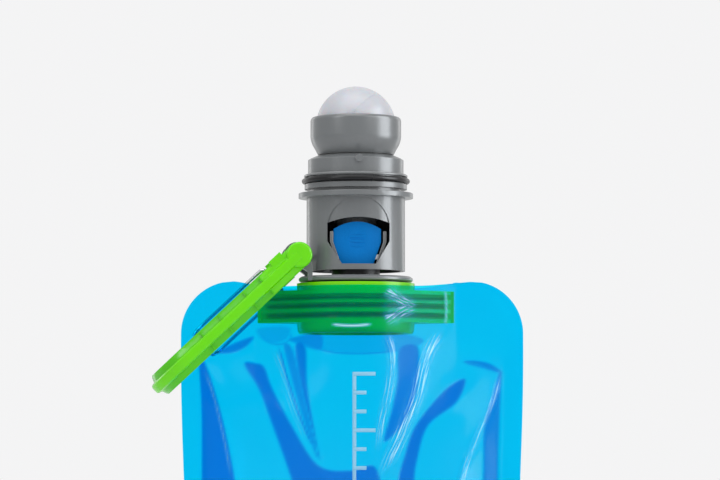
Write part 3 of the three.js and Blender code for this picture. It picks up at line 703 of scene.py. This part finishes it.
def rod(name, x, z, radius, y_low, y_high, sides=64):
    """A round bar along Y."""
    bpy.ops.object.select_all(action="DESELECT")
    bpy.ops.mesh.primitive_cylinder_add(
        vertices=sides, radius=radius * MM, depth=(y_high - y_low) * MM, rotation=(math.pi / 2, 0, 0),
        location=(x * MM, (y_low + y_high) / 2 * MM, z * MM))
    made = bpy.context.object
    made.name = name
    bpy.ops.object.transform_apply(location=True, rotation=True, scale=True)
    return made


def combined(piece, others, operation="UNION"):
    """Joins the others to piece, or cuts them from it, and clears them away."""
    for other in others:
        step = piece.modifiers.new("combine", "BOOLEAN")
        step.operation = operation
        step.solver = "EXACT"
        step.object = other
        only(piece)
        bpy.ops.object.modifier_apply(modifier=step.name)
        bpy.data.objects.remove(other)
    return piece


def boat_outline(radius, tip, steps=28):
    """The boat shape seen from above: two arcs that run out to a tip on each side."""
    tangent = math.acos(radius / tip)
    points = []
    for start in (0, math.pi):
        points.append((tip * math.cos(start), 0))
        for i in range(steps + 1):
            angle = start + tangent + (math.pi - 2 * tangent) * i / steps
            points.append((radius * math.cos(angle), radius * math.sin(angle)))
    return points


def helix(name, radius, low, high, turns, wire, steps_per_turn=28):
    """A round wire wound up the neck's axis, as a mesh."""
    count = round(turns * steps_per_turn)
    points = []
    for i in range(count + 1):
        angle = 2 * math.pi * turns * i / count
        points.append((radius * math.cos(angle), radius * math.sin(angle), low + (high - low) * i / count))
    return bent_wire(name, points, wire)


def bent_wire(name, points, radius):
    """A round wire through the given points, with closed ends, as a mesh."""
    line = bpy.data.curves.new(name, "CURVE")
    line.dimensions = "3D"
    line.bevel_depth = radius * MM
    line.bevel_resolution = 4
    line.use_fill_caps = True
    run = line.splines.new("POLY")
    run.points.add(len(points) - 1)
    for knot, point in zip(run.points, points):
        knot.co = (*[MM * value for value in point], 1)
    made = bpy.data.objects.new(name, line)
    scene.collection.objects.link(made)
    only(made)
    bpy.ops.object.convert(target="MESH")
    made = closed_up(bpy.context.object)
    bpy.ops.object.shade_smooth_by_angle(angle=math.radians(60))
    return made


def placed_by(piece, matrix):
    """Moves a piece, with its place kept in its mesh."""
    only(piece)
    piece.matrix_world = matrix @ piece.matrix_world
    bpy.ops.object.transform_apply(location=True, rotation=True, scale=True)
    return piece


def turned(piece):
    """Turns a piece with the head, about the neck's axis."""
    return placed_by(piece, Matrix.Rotation(math.radians(HEAD_YAW), 4, "Z"))


def moulded_group():
    """Shader group: the uneven colour, polish and fine grain of a moulded or drawn surface."""
    amounts = ("Cloud Size", "Cloud Amount", "Grain Size", "Grain Depth", "Roughness", "Roughness Spread")
    group, given, result = shader_group(
        "moulded_surface", [("Colour", "Color"), ("Shade", "Color")] + [(title, "Float") for title in amounts],
        [("Colour", "Color"), ("Roughness", "Float"), ("Normal", "Vector")])
    place = added(group, "TexCoord").outputs["Object"]
    cloud = noise(group, place, given["Cloud Size"], detail=4)
    grain = noise(group, place, given["Grain Size"])
    amount = math_node(group, "MULTIPLY", cloud, given["Cloud Amount"], clamp=True)
    feed(group, result["Colour"], colour_mix(group, amount, given["Colour"], given["Shade"]))
    spread = math_node(group, "MULTIPLY", math_node(group, "SUBTRACT", cloud, 0.5), given["Roughness Spread"])
    feed(group, result["Roughness"], math_node(group, "ADD", spread, given["Roughness"], clamp=True))
    bump = added(group, "Bump", Distance=0.0002, Strength=given["Grain Depth"], Height=grain)
    feed(group, result["Normal"], bump.outputs["Normal"])
    return group


def moulded(name, colour, shade, roughness, grain_depth=0.1, grain_size=2600, cloud=0.35, **shader_values):
    """A Principled material fed by the moulded_surface group; other values go on its own sockets."""
    made = bpy.data.materials.new(name)
    made.use_nodes = True
    tree = made.node_tree
    shader = tree.nodes["Principled BSDF"]
    surface = tree.nodes.new("ShaderNodeGroup")
    surface.node_tree = bpy.data.node_groups.get("moulded_surface") or moulded_group()
    for title, value in (("Colour", (*colour, 1)), ("Shade", (*shade, 1)), ("Cloud Size", 70),
                         ("Cloud Amount", cloud), ("Grain Size", grain_size), ("Grain Depth", grain_depth),
                         ("Roughness", roughness), ("Roughness Spread", 0.12)):
        surface.inputs[title].default_value = value
    for source, target in (("Colour", "Base Color"), ("Roughness", "Roughness"), ("Normal", "Normal")):
        tree.links.new(surface.outputs[source], shader.inputs[target])
    for title, value in shader_values.items():
        shader.inputs[title.replace("_", " ")].default_value = value
    return made


def painted(piece, material, edge_highlight=None):
    """Gives a piece or a CAD node this material, and a lighter one for the edges that are rounded later: a
    painted highlight where the edges catch the light.
    """
    piece.data.materials.clear()
    piece.data.materials.append(material)
    if edge_highlight:
        piece.data.materials.append(edge_highlight)
    piece.data.polygons.foreach_set("material_index", [0] * len(piece.data.polygons))
    return piece


green = moulded("green_moulding", (0.23, 0.66, 0.004), (0.17, 0.54, 0.002), 0.22, cloud=0.3,
                Specular_IOR_Level=0.25)
fitment = spun("welded_neck", [
    (0, NECK_BOTTOM), (NECK_R - 0.8, NECK_BOTTOM), (NECK_R - 0.3, NECK_BOTTOM + 1), (NECK_R, NECK_BOTTOM + 4),
    (NECK_R, BOAT_LOW + 1), (NECK_R - GROOVE_DEPTH, BOAT_LOW + 1.4), (NECK_R - GROOVE_DEPTH, BOAT_HIGH - 1),
    (NECK_R, BOAT_HIGH - 0.6), (NECK_R, NECK_TOP), (0, NECK_TOP)], 0)
ribs = [raised("rib", boat_outline(NECK_R, BOAT_TIP), z - RIB_HALF, z + RIB_HALF) for z in RIB_HEIGHTS]
boat = [raised("boat", boat_outline(NECK_R - GROOVE_DEPTH, BOAT_TIP - 0.8), BOAT_LOW, BOAT_HIGH),
        block("fin", (-BOAT_TIP - 0.3, -0.7, BOAT_LOW), (BOAT_TIP + 0.3, 0.7, BOAT_HIGH))]
combined(fitment, boat + ribs)
combined(fitment, [spun("bore", [(0, 202.4), (NECK_BORE, 202.4), (NECK_BORE, 216), (0, 216)], 0),
                   spun("ledge_hole", [(0, 190), (MOUTH_R, 190), (MOUTH_R, 206), (0, 206)], 0),
                   spun("mouth", [(0, 190), (NECK_BORE, 190), (NECK_BORE, 201), (0, 201)], 0)], "DIFFERENCE")
combined(fitment, [helix("neck_thread", NECK_BORE, 206.3, 212.9, 1.1, 0.6)])
rounded(fitment, 0.16)
painted(fitment, green)
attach(fitment, "bottle")
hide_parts("neck_fitment")

# ------------------------------------------------------------ washer and gasket
# A dark flat silicone ring on the neck lets the carabiner ring turn, and a milky gasket in the neck
# seals the screw base.

rubber = moulded("black_silicone", (0.003, 0.003, 0.004), (0.008, 0.008, 0.01), 0.28, grain_depth=0.2,
                 grain_size=1800, Specular_IOR_Level=0.3)
milky = moulded("milky_silicone", (0.66, 0.66, 0.62), (0.55, 0.55, 0.5), 0.45, Subsurface_Weight=0.2)
WASHER_IN, WASHER_OUT = 17.7, 19.4
WASHER_LOW, WASHER_TOP = NECK_TOP + 0.1, 215.1
washer = spun("slip_washer", [(WASHER_IN, WASHER_LOW), (WASHER_OUT, WASHER_LOW), (WASHER_OUT, WASHER_TOP),
                              (WASHER_IN, WASHER_TOP)], 0.05)
painted(washer, rubber)
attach(washer, "bottle")
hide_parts("swivel_washer")
painted(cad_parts["neck_seal"], milky)

# ------------------------------------------------------------ carabiner ring and hinge pin
# A grey moulded ring that turns on the neck. Two arms rise from it beside the head, and a steel pin
# through them carries the carabiner.

RING_R = 21.7
RING_LOW = 215.2
RING_TOP = 217.2
HINGE_X = -22.4
HINGE_Z = 224.6
ARM_IN = 9.6
ARM_OUT = 13.0
KNUCKLE = 4.85
RING_BORE = 17.7
PIN_R = 1.15
PIN_HALF = 16.6
PIN_HOLE_R = 1.35

grey = moulded("grey_moulding", (0.138, 0.148, 0.153), (0.108, 0.117, 0.122), 0.30, grain_depth=0.14,
               Coat_Weight=0.35, Coat_Roughness=0.2)
# The lighter grey on the rounded edges is painted highlight, where the edges catch the light.
edge_highlight_grey = moulded("grey_painted_edge_highlight", (0.36, 0.36, 0.35), (0.27, 0.28, 0.28), 0.3, grain_depth=0.1,
                    Coat_Weight=0.3)
steel = moulded("drawn_steel", (0.62, 0.63, 0.65), (0.45, 0.46, 0.48), 0.16, grain_depth=0.1, cloud=0.5,
                Metallic=1.0)
ring = spun("swivel_ring", [
    (RING_BORE, RING_LOW), (RING_R - 0.5, RING_LOW), (RING_R, RING_LOW + 0.5), (RING_R, RING_TOP - 0.7),
    (RING_R - 0.9, RING_TOP), (19.6, RING_TOP), (19.6, RING_TOP - 1), (RING_BORE, RING_TOP - 1)], 0)
arm = [(-17.2, RING_LOW + 0.1), (-18.9, RING_LOW + 0.1), (-18.9, RING_TOP + 1.2)]
arm += [(HINGE_X - 0.75 + KNUCKLE * math.cos(a), HINGE_Z + 0.25 + KNUCKLE * math.sin(a))
        for a in np.linspace(-1.22, -0.35 - 2 * math.pi, 30)]
arm += [(-17.4, HINGE_Z - 3.4), (-17.2, HINGE_Z - 4.6), (-17.2, RING_TOP - 0.3)]
combined(ring, [raised("arm", arm, -ARM_OUT, -ARM_IN, True), raised("arm", arm, ARM_IN, ARM_OUT, True)])
combined(ring, [rod("pin_hole", HINGE_X, HINGE_Z, PIN_HOLE_R, -15, 15),
                spun("seat", [(0, RING_TOP - 0.9), (19.5, RING_TOP - 0.9), (19.5, 219), (0, 219)], 0),
                spun("bore", [(0, 212), (RING_BORE, 212), (RING_BORE, 219), (0, 219)], 0)], "DIFFERENCE")
painted(ring, grey, edge_highlight_grey)
rounded(ring, 0.18)
turned(ring)
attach(ring, "ring")
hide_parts("carabiner_ring")

pin = turned(rounded(rod("steel_pin", HINGE_X, HINGE_Z, PIN_R, -PIN_HALF, PIN_HALF), 0.2))
painted(pin, steel)
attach(pin, "ring")
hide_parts("hinge_pin")

# ------------------------------------------------------------ carabiner
# A lime green moulded loop with an I-shaped section. Its root carries the wire gate, and the gate's
# far end closes against the nose. It hangs down to the left and rests on the edge of the pouch.

HANG_ANGLE = 43.2
LOOP_LENGTH = 73.9
LOOP_HALF = 19
LOOP_INNER = 13.3
WEB_HALF = 2.05
FLANGE_HALF = 4.7
FLANGE_OUTER = 17.0
FLANGE_INNER = 14.5
NOSE_START = 45
ROOT_END = 15
EYE_R = 4.9
BOSS_HALF = 5.9
GATE_PIVOT = 11.5
GATE_V = 16
STIFFENER_PLACES = (17, 25, 37.8, 47)
HANG = (Matrix.Rotation(math.radians(HEAD_YAW), 4, "Z") @ Matrix.Translation((HINGE_X * MM, 0, HINGE_Z * MM))
        @ Matrix.Rotation(math.radians(180 - HANG_ANGLE), 4, "Y"))

lime = moulded("lime_moulding", (0.15, 0.68, 0.001), (0.09, 0.56, 0.001), 0.2, grain_depth=0.12, cloud=0.5,
               Specular_IOR_Level=0.3, Subsurface_Weight=0.12, Subsurface_Scale=0.002,
               Subsurface_Radius=(0.4, 1.0, 0.1))
# The deeper green of the sunk flanges is painted shade in the carabiner's channels.
shaded_lime = moulded("lime_flange_painted_shade", (0.085, 0.54, 0.001), (0.05, 0.42, 0.001), 0.2, grain_depth=0.12, cloud=0.5,
                    Specular_IOR_Level=0.35)


def hung(piece):
    """Places a piece made along the carabiner's own length, width and thickness."""
    return placed_by(piece, HANG)


section = [(LOOP_HALF, 0.9), (LOOP_HALF - 0.25, 1.65), (LOOP_HALF - 0.9, WEB_HALF),
           (FLANGE_OUTER + 0.3, WEB_HALF + 0.15), (FLANGE_OUTER, WEB_HALF + 0.5),
           (FLANGE_OUTER - 0.5, FLANGE_HALF - 0.8), (FLANGE_OUTER - 1.1, FLANGE_HALF),
           (FLANGE_INNER + 0.3, FLANGE_HALF), (FLANGE_INNER, WEB_HALF + 0.25), (LOOP_INNER, WEB_HALF)]
section += [(v, -w) for v, w in reversed(section)]
bow_centre = LOOP_LENGTH - LOOP_HALF
frame_loop = drawn("carabiner_loop", [(0, -v, w) for v, w in section],
                   [(i, (i + 1) % len(section)) for i in range(len(section))], [])
bpy.ops.object.mode_set(mode="EDIT")
bpy.ops.mesh.select_all(action="SELECT")
bpy.ops.mesh.edge_face_add()
bpy.ops.mesh.extrude_region_move(TRANSFORM_OT_translate={"value": (bow_centre * MM, 0, 0)})
bpy.ops.mesh.spin(steps=40, angle=-math.pi, center=(bow_centre * MM, 0, 0), axis=(0, 0, 1))
bpy.ops.mesh.extrude_region_move(TRANSFORM_OT_translate={"value": ((NOSE_START - bow_centre) * MM, 0, 0)})
bpy.ops.object.mode_set(mode="OBJECT")
closed_up(frame_loop)
root_bar = drawn("root_bar", [(0, v, w) for v, w in section], [], [tuple(range(len(section)))])
bpy.ops.object.mode_set(mode="EDIT")
bpy.ops.mesh.select_all(action="SELECT")
bpy.ops.mesh.extrude_region_move(TRANSFORM_OT_translate={"value": (ROOT_END * MM, 0, 0)})
bpy.ops.object.mode_set(mode="OBJECT")
closed_up(root_bar, merge=False)
stiffeners = [block("stiffener", (u - 0.3, side * FLANGE_OUTER - 0.8, wing * 3.0 - 1.1),
                    (u + 0.3, side * FLANGE_OUTER + 0.8, wing * 3.0 + 1.1))
              for u in STIFFENER_PLACES for side in (-1, 1) for wing in (-1, 1)
              if side < 0 or u > NOSE_START]
combined(frame_loop, [
    root_bar,
    block("cross_bar", (9.3, -LOOP_INNER - 1, -WEB_HALF + 0.01), (13.3, LOOP_INNER + 1, WEB_HALF - 0.01)),
    block("gate_boss", (4.7, FLANGE_INNER + 0.2, -BOSS_HALF), (10.3, FLANGE_OUTER - 0.3, 5.0)),
    block("stop_boss", (4.7, -FLANGE_OUTER + 0.3, -BOSS_HALF), (10.3, -FLANGE_INNER - 0.2, 0)),
    rounded(rod("near_eye", 0, 0, EYE_R, -LOOP_HALF + 0.3, -LOOP_INNER), 1.1, 4),
    rounded(rod("far_eye", 0, 0, EYE_R, LOOP_INNER, LOOP_HALF - 0.3), 1.1, 4)] + stiffeners)
gate_hole = placed_by(
    rod("gate_hole", 0, 0, 1.15, -10, 10, 24),
    Matrix.Translation((GATE_PIVOT * MM, GATE_V * MM, 0)) @ Matrix.Rotation(math.pi / 2, 4, "X"))
combined(frame_loop, [rod("pin_hole", 0, 0, PIN_HOLE_R, -17, 17, 32), gate_hole], "DIFFERENCE")
painted(frame_loop, lime)
rounded(frame_loop, 0.32, 2, 30)
# Many-sided flat faces are split, and the sunk flanges get a deeper green than the web: painted shade in the
# channels.
only(frame_loop)
bpy.ops.object.mode_set(mode="EDIT")
bpy.ops.mesh.select_all(action="DESELECT")
bpy.ops.mesh.select_face_by_sides(number=4, type="GREATER")
bpy.ops.mesh.quads_convert_to_tris()
bpy.ops.object.mode_set(mode="OBJECT")
frame_loop.data.materials.append(shaded_lime)
for face in frame_loop.data.polygons:
    if abs(face.center.z) > (WEB_HALF + 0.3) * MM and face.center.x > ROOT_END * MM:
        face.material_index = 1
hung(frame_loop)
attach(frame_loop, "carabiner")
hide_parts("carabiner_frame")

# ------------------------------------------------------------ wire gate
# A loop of polished steel wire. Its two ends turn into the carabiner's root, and it springs shut
# inside the nose.

GATE_W = 5.8
GATE_END = 48.5
WIRE_R = 0.72


def gate_leg(side):
    return [(GATE_PIVOT, GATE_V, 2.6 * side), (GATE_PIVOT, GATE_V, 4.4 * side),
            (GATE_PIVOT + 0.7, GATE_V, (GATE_W - 0.25) * side), (GATE_PIVOT + 3, GATE_V, GATE_W * side),
            (28, GATE_V, GATE_W * side), (GATE_END - 5.5, GATE_V - 0.6, GATE_W * side),
            (GATE_END - 0.9, 12.7, (GATE_W - 0.4) * side), (GATE_END, 12.3, (GATE_W - 2.2) * side)]


gate = bent_wire("gate_wire", smooth_path(gate_leg(1) + gate_leg(-1)[::-1], steps=6), WIRE_R)
hung(gate)
painted(gate, steel)
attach(gate, "gate")
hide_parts("wire_gate")

# ------------------------------------------------------------ screw base and spigot
# A grey base screws into the neck and is mostly hidden by the carabiner ring. A black hollow spigot
# stands on it, with a groove for the head's latch and another for an O-ring.

black = moulded("black_moulding", (0.012, 0.012, 0.015), (0.024, 0.024, 0.028), 0.38, grain_depth=0.2)
painted(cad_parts["screw_base"], grey)
painted(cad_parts["spigot_retainer"], steel)
painted(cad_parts["spigot_o_ring"], rubber)
SPIGOT_BORE = 4
SPIGOT_LOW = 212.3
SPIGOT_TOP = 233.6
spigot = spun("black_spigot", [
    (SPIGOT_BORE, SPIGOT_LOW), (6, SPIGOT_LOW), (6, RING_TOP + 0.1), (9.2, RING_TOP + 0.1), (9.2, 221.2),
    (7, 222.4), (7, 225.6),
    (8.5, 225.7), (8.5, 227), (6.6, 228.2), (6.6, 229.6), (5.5, 229.7), (5.5, 231.1), (6.6, 231.2),
    (6, SPIGOT_TOP), (SPIGOT_BORE, SPIGOT_TOP)], 0.12)
painted(spigot, black)
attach(spigot, "screw_adaptor")
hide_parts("spigot")

# ------------------------------------------------------------ head housing
# A grey moulded shell that snaps over the spigot. A flange tops it, and a shield-shaped window with a
# round thumb scoop opens on the button. The whole head is turned a few degrees.

HOUSING_R = 18.75
HOUSING_LOW = 219.3
HOUSING_TOP = 249
FLANGE_R = 21.8
FLANGE_LOW = 247
WALL = 1.7
SCOOP_R = 11.75
SCOOP_Z = 235.0
SCOOP_DEPTH = 0.35


def shield(half, sill_half, top, shoulder, waist, sill, steps=16):
    """An arched top over straight sides that narrow below the waist to a flat sill."""
    points = [(-sill_half, sill), (sill_half, sill), (half, waist)]
    for i in range(steps + 1):
        t = i / steps
        points.append((half * (1 - 2 * t), shoulder + 4 * (top - shoulder) * t * (1 - t)))
    return points + [(-half, waist)]


inner = HOUSING_R - WALL
housing = spun("head_shell", [
    (inner, HOUSING_LOW), (HOUSING_R, HOUSING_LOW), (HOUSING_R, FLANGE_LOW), (FLANGE_R, FLANGE_LOW + 0.1),
    (FLANGE_R, HOUSING_TOP - 0.2), (FLANGE_R - 0.2, HOUSING_TOP), (11.4, HOUSING_TOP), (11.4, FLANGE_LOW),
    (inner, FLANGE_LOW)], 0)
scoop_floor = HOUSING_R - SCOOP_DEPTH
scoop = combined(rod("scoop", 0, SCOOP_Z, SCOOP_R, -30, 0, 96),
                 [spun("scoop_floor", [(0, 200), (scoop_floor, 200), (scoop_floor, 260), (0, 260)], 0)],
                 "DIFFERENCE")
window = raised("window", shield(11.75, 6.45, 239, 236.9, 230, 221.4), -30, -8, True)
combined(housing, [window, scoop], "DIFFERENCE")
painted(housing, grey, edge_highlight_grey)
rounded(housing, 0.2)
turned(housing)
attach(housing, "head")
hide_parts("housing")

# ------------------------------------------------------------ button and its guide
# A satin blue pad with a crowned face and a shallow thumb dimple, held straight by a grey U-shaped
# rail behind the window. The pad pushes a steel latch plate against a small spring.

blue = moulded("blue_moulding", (0.0, 0.185, 0.57), (0.0, 0.155, 0.50), 0.42, grain_depth=0.3, grain_size=1500,
               Specular_IOR_Level=0.08)
BUTTON_FRONT = -13.4
BUTTON_SHIFT = -0.3
CROWN_R = 31
THUMB_R = 26
DIMPLE_DEPTH = 0.45
button = raised("push_button", shield(9, 6.1, 237.5, 234.7, 229.8, 221.6), BUTTON_FRONT, -11, True)
crown = spun("crown", [(0, 215), (CROWN_R, 215), (CROWN_R, 245), (0, 245)], 0, 240)
crown.location.y = (CROWN_R + BUTTON_FRONT) * MM
combined(button, [crown], "INTERSECT")
combined(button, [block("relief", (-20, -12.3, 215), (20, 0, 226))], "DIFFERENCE")
bpy.ops.object.select_all(action="DESELECT")
bpy.ops.mesh.primitive_uv_sphere_add(
    segments=64, ring_count=32, radius=THUMB_R * MM,
    location=(0, (BUTTON_FRONT - THUMB_R + DIMPLE_DEPTH) * MM, 230.6 * MM))
combined(button, [bpy.context.object], "DIFFERENCE")
combined(button, [block("grip", (-half, -13.3, z - 0.45), (half, -12.4, z + 0.45))
                  for half, z in ((3.4, 232.0), (3.0, 230.2), (2.6, 228.4))])
button.location.x = BUTTON_SHIFT * MM
rounded(button, 0.35, 3)
turned(button)
painted(button, blue)
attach(button, "button")
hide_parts("release_button")

guide = raised("button_rail", shield(10.65, 7.5, 239, 237, 229.9, 220.2), -13.2, -11.2, True)
combined(guide, [raised("gap", shield(9.45, 6.6, 238, 236, 229.8, 221.4), -40, 0, True),
                 block("top", (-20, -20, 233.8), (20, 0, 250))], "DIFFERENCE")
painted(guide, grey, edge_highlight_grey)
rounded(guide, 0.15)
turned(guide)
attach(guide, "head")
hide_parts("button_guide")

painted(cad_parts["latch_plate"], steel)
LATCH_SPRING_START = 11.7
LATCH_SPRING_LENGTH = 4.6
LATCH_SPRING_Z = 224.3
latch_coil = helix("latch_coil", 1.9, 0, LATCH_SPRING_LENGTH, 4.5, 0.3)
latch_coil.matrix_world = (Matrix.Translation((0, LATCH_SPRING_START * MM, LATCH_SPRING_Z * MM))
                           @ Matrix.Rotation(-math.pi / 2, 4, "X"))
turned(latch_coil)
painted(latch_coil, steel)
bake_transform(latch_coil)
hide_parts("latch_spring")

# ------------------------------------------------------------ flow core and valve
# Inside the head a moulded tube leads the water up past a silicone valve cone. A steel spring presses
# the cone on its seat.

painted(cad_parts["flow_core"], grey)
painted(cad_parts["valve_poppet"], milky)
painted(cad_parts["valve_cage"], grey)
VALVE_SPRING_LOW = 240.5
VALVE_SPRING_TOP = 252.6
valve_coil = turned(helix("valve_coil", 3.4, VALVE_SPRING_LOW, VALVE_SPRING_TOP, 6, 0.35))
painted(valve_coil, steel)
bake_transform(valve_coil)
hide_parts("valve_spring")

# ------------------------------------------------------------ collar
# The grey upper body: a groove above the flange, a ring, the seat of the O-ring, a flared skirt and a
# collar with three small bayonet lugs for a cover.

collar = spun("bayonet_collar", [
    (8.3, 244), (11.1, 244), (11.1, 249.1), (17.6, 249.1), (17.6, 250.3), (19.5, 250.4), (19.5, 252.3),
    (18.4, 252.4), (18.4, 255.1), (19.7, 255.2), (19.7, 255.75), (19.3, 256.1), (18.2, 256.2), (18.2, 261.6),
    (17.5, 262.1), (15, 263.2), (12.9, 263.2), (12.9, 257.2), (8.3, 257.2)], 0)
LUG_Z = 261.2
LUG_R = 1.4
lugs = []
for degrees in (0, 120, 240):
    lug = rod("lug", 0, LUG_Z, LUG_R, -19.4, -17, 32)
    lug.matrix_world = Matrix.Rotation(math.radians(degrees), 4, "Z") @ lug.matrix_world
    lugs.append(lug)
combined(collar, lugs)
painted(collar, grey, edge_highlight_grey)
rounded(collar, 0.16)
turned(collar)
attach(collar, "head")
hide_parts("collar_core")

# ------------------------------------------------------------ O-ring and cup seal
# A black silicone ring, stretched into its seat round the collar, seals the cover. A milky ring under
# the ball cup seals the head.

O_RING_Z = 253.6
O_RING_R = 19.55
O_RING_HALF = 1.05
bpy.ops.object.select_all(action="DESELECT")
bpy.ops.mesh.primitive_torus_add(major_segments=160, minor_segments=24, location=(0, 0, O_RING_Z * MM),
                                 major_radius=O_RING_R * MM, minor_radius=O_RING_HALF * MM)
o_ring = bpy.context.object
o_ring.name = "cover_seal_ring"
bpy.ops.object.transform_apply(location=True, rotation=True, scale=True)
bpy.ops.object.shade_smooth()
painted(o_ring, rubber)
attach(o_ring, "head")
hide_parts("cover_o_ring")
painted(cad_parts["cup_seal"], milky)

# ------------------------------------------------------------ ball cup
# A thick grey moulded socket, pressed into the collar. Its lip closes just past the ball's middle, so
# that the ball snaps in and stays.

BALL_R = 15.2
BALL_Z = 274.7
SEAT_R = 15.5
LIP_Z = 278.1
arc = [(SEAT_R * math.cos(a), BALL_Z + SEAT_R * math.sin(a))
       for a in np.linspace(math.asin((LIP_Z - BALL_Z) / SEAT_R), -math.acos(3 / SEAT_R), 24)]
cup = spun("ball_socket", [
    (3, 257.6), (12.6, 257.6), (12.6, 263.6), (14.3, 263.6), (14.7, 264.2), (15.3, 265.4), (15.9, 266.4),
    (16.5, 267.5), (16.95, 268.7), (17.2, 269.7), (17.3, 270.6), (17.3, 276.6), (17.1, 277.4), (16.6, 277.9),
    (16.0, LIP_Z)] + arc, 0)
painted(cup, grey, edge_highlight_grey)
rounded(cup, 0.12)
turned(cup)
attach(cup, "head")
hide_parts("ball_cup")

# ------------------------------------------------------------ roller ball
# Two thin frosted shells are moulded and welded into a hollow ball, and the weld stays as a fine
# slanting line.

ball_plastic = moulded("frosted_shell", (0.50, 0.51, 0.55), (0.44, 0.45, 0.49), 0.34, grain_depth=0.15,
                       cloud=0.5, Subsurface_Weight=0.3, Subsurface_Scale=0.003)
SHELL_WALL = 1.6
WELD_AXIS = Vector((0.772, -0.203, -0.602)).normalized()
for title, sign, node in (("ball_shell_left", -1, "ball_half_left"),
                          ("ball_shell_right", 1, "ball_half_right")):
    half_arc = [(BALL_R * math.cos(a), BALL_R * math.sin(a)) for a in np.linspace(0.0015, math.pi / 2, 28)]
    half_arc[-1] = (0, BALL_R)
    bore_r = BALL_R - SHELL_WALL
    inner_arc = [(bore_r * math.cos(a), bore_r * math.sin(a)) for a in np.linspace(math.pi / 2, 0.002, 20)]
    inner_arc[0] = (0, bore_r)
    shell = rounded(spun(title, half_arc + inner_arc, 0, 96), 0)
    turn = Vector((0, 0, 1)).rotation_difference(WELD_AXIS * sign).to_matrix().to_4x4()
    placed_by(shell, Matrix.Translation((0, 0, BALL_Z * MM)) @ turn)
    painted(shell, ball_plastic)
    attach(shell, "ball")
    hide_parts(node)

# ------------------------------------------------------------ bottom panel
# An oval of the same laminate is welded between the films below, and bows up a little. The filled
# pouch stands on its rim.

PANEL_RINGS = 14
PANEL_SIDES = 120
PANEL_HALF_LENGTH = 46.5
PANEL_CROWN = 3.0
PLEATS = 8
points, faces = [(POUCH_SHIFT, 0, PANEL_CROWN + 0.2)], []
for j in range(1, PANEL_RINGS + 1):
    share = j / PANEL_RINGS
    for i in range(PANEL_SIDES):
        angle = 2 * math.pi * i / PANEL_SIDES
        reach = PANEL_HALF_LENGTH * math.cos(angle)
        half_depth = max(0.0, float(pouch_half_depth(np.array(POUCH_SHIFT + reach), np.array(0.0))) - 1.6)
        at_tip = abs(math.sin(angle)) < 1e-6
        y = 0 if at_tip else math.copysign(half_depth, math.sin(angle))
        pleat = 0.5 * math.cos(PLEATS * angle) * share * (1 - share)
        height = PANEL_CROWN * (1 - share ** 2.5) + 0.15 + pleat
        points.append((POUCH_SHIFT + reach * share, y * share, height))
for i in range(PANEL_SIDES):
    following = (i + 1) % PANEL_SIDES
    faces.append((0, 1 + i, 1 + following))
    for j in range(PANEL_RINGS - 1):
        low, high = 1 + j * PANEL_SIDES, 1 + (j + 1) * PANEL_SIDES
        faces.append((low + i, high + i, high + following, low + following))
panel = drawn("bottom_panel", points, [], faces)
thick = panel.modifiers.new("laminate", "SOLIDIFY")
thick.thickness = FILM_THICKNESS * MM
thick.offset = 1
bpy.ops.object.modifier_apply(modifier=thick.name)
bpy.ops.object.shade_smooth()
painted(panel, film_material("panel_laminate", 0.3))
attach(panel, "bottle")
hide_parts("bottom_gusset")
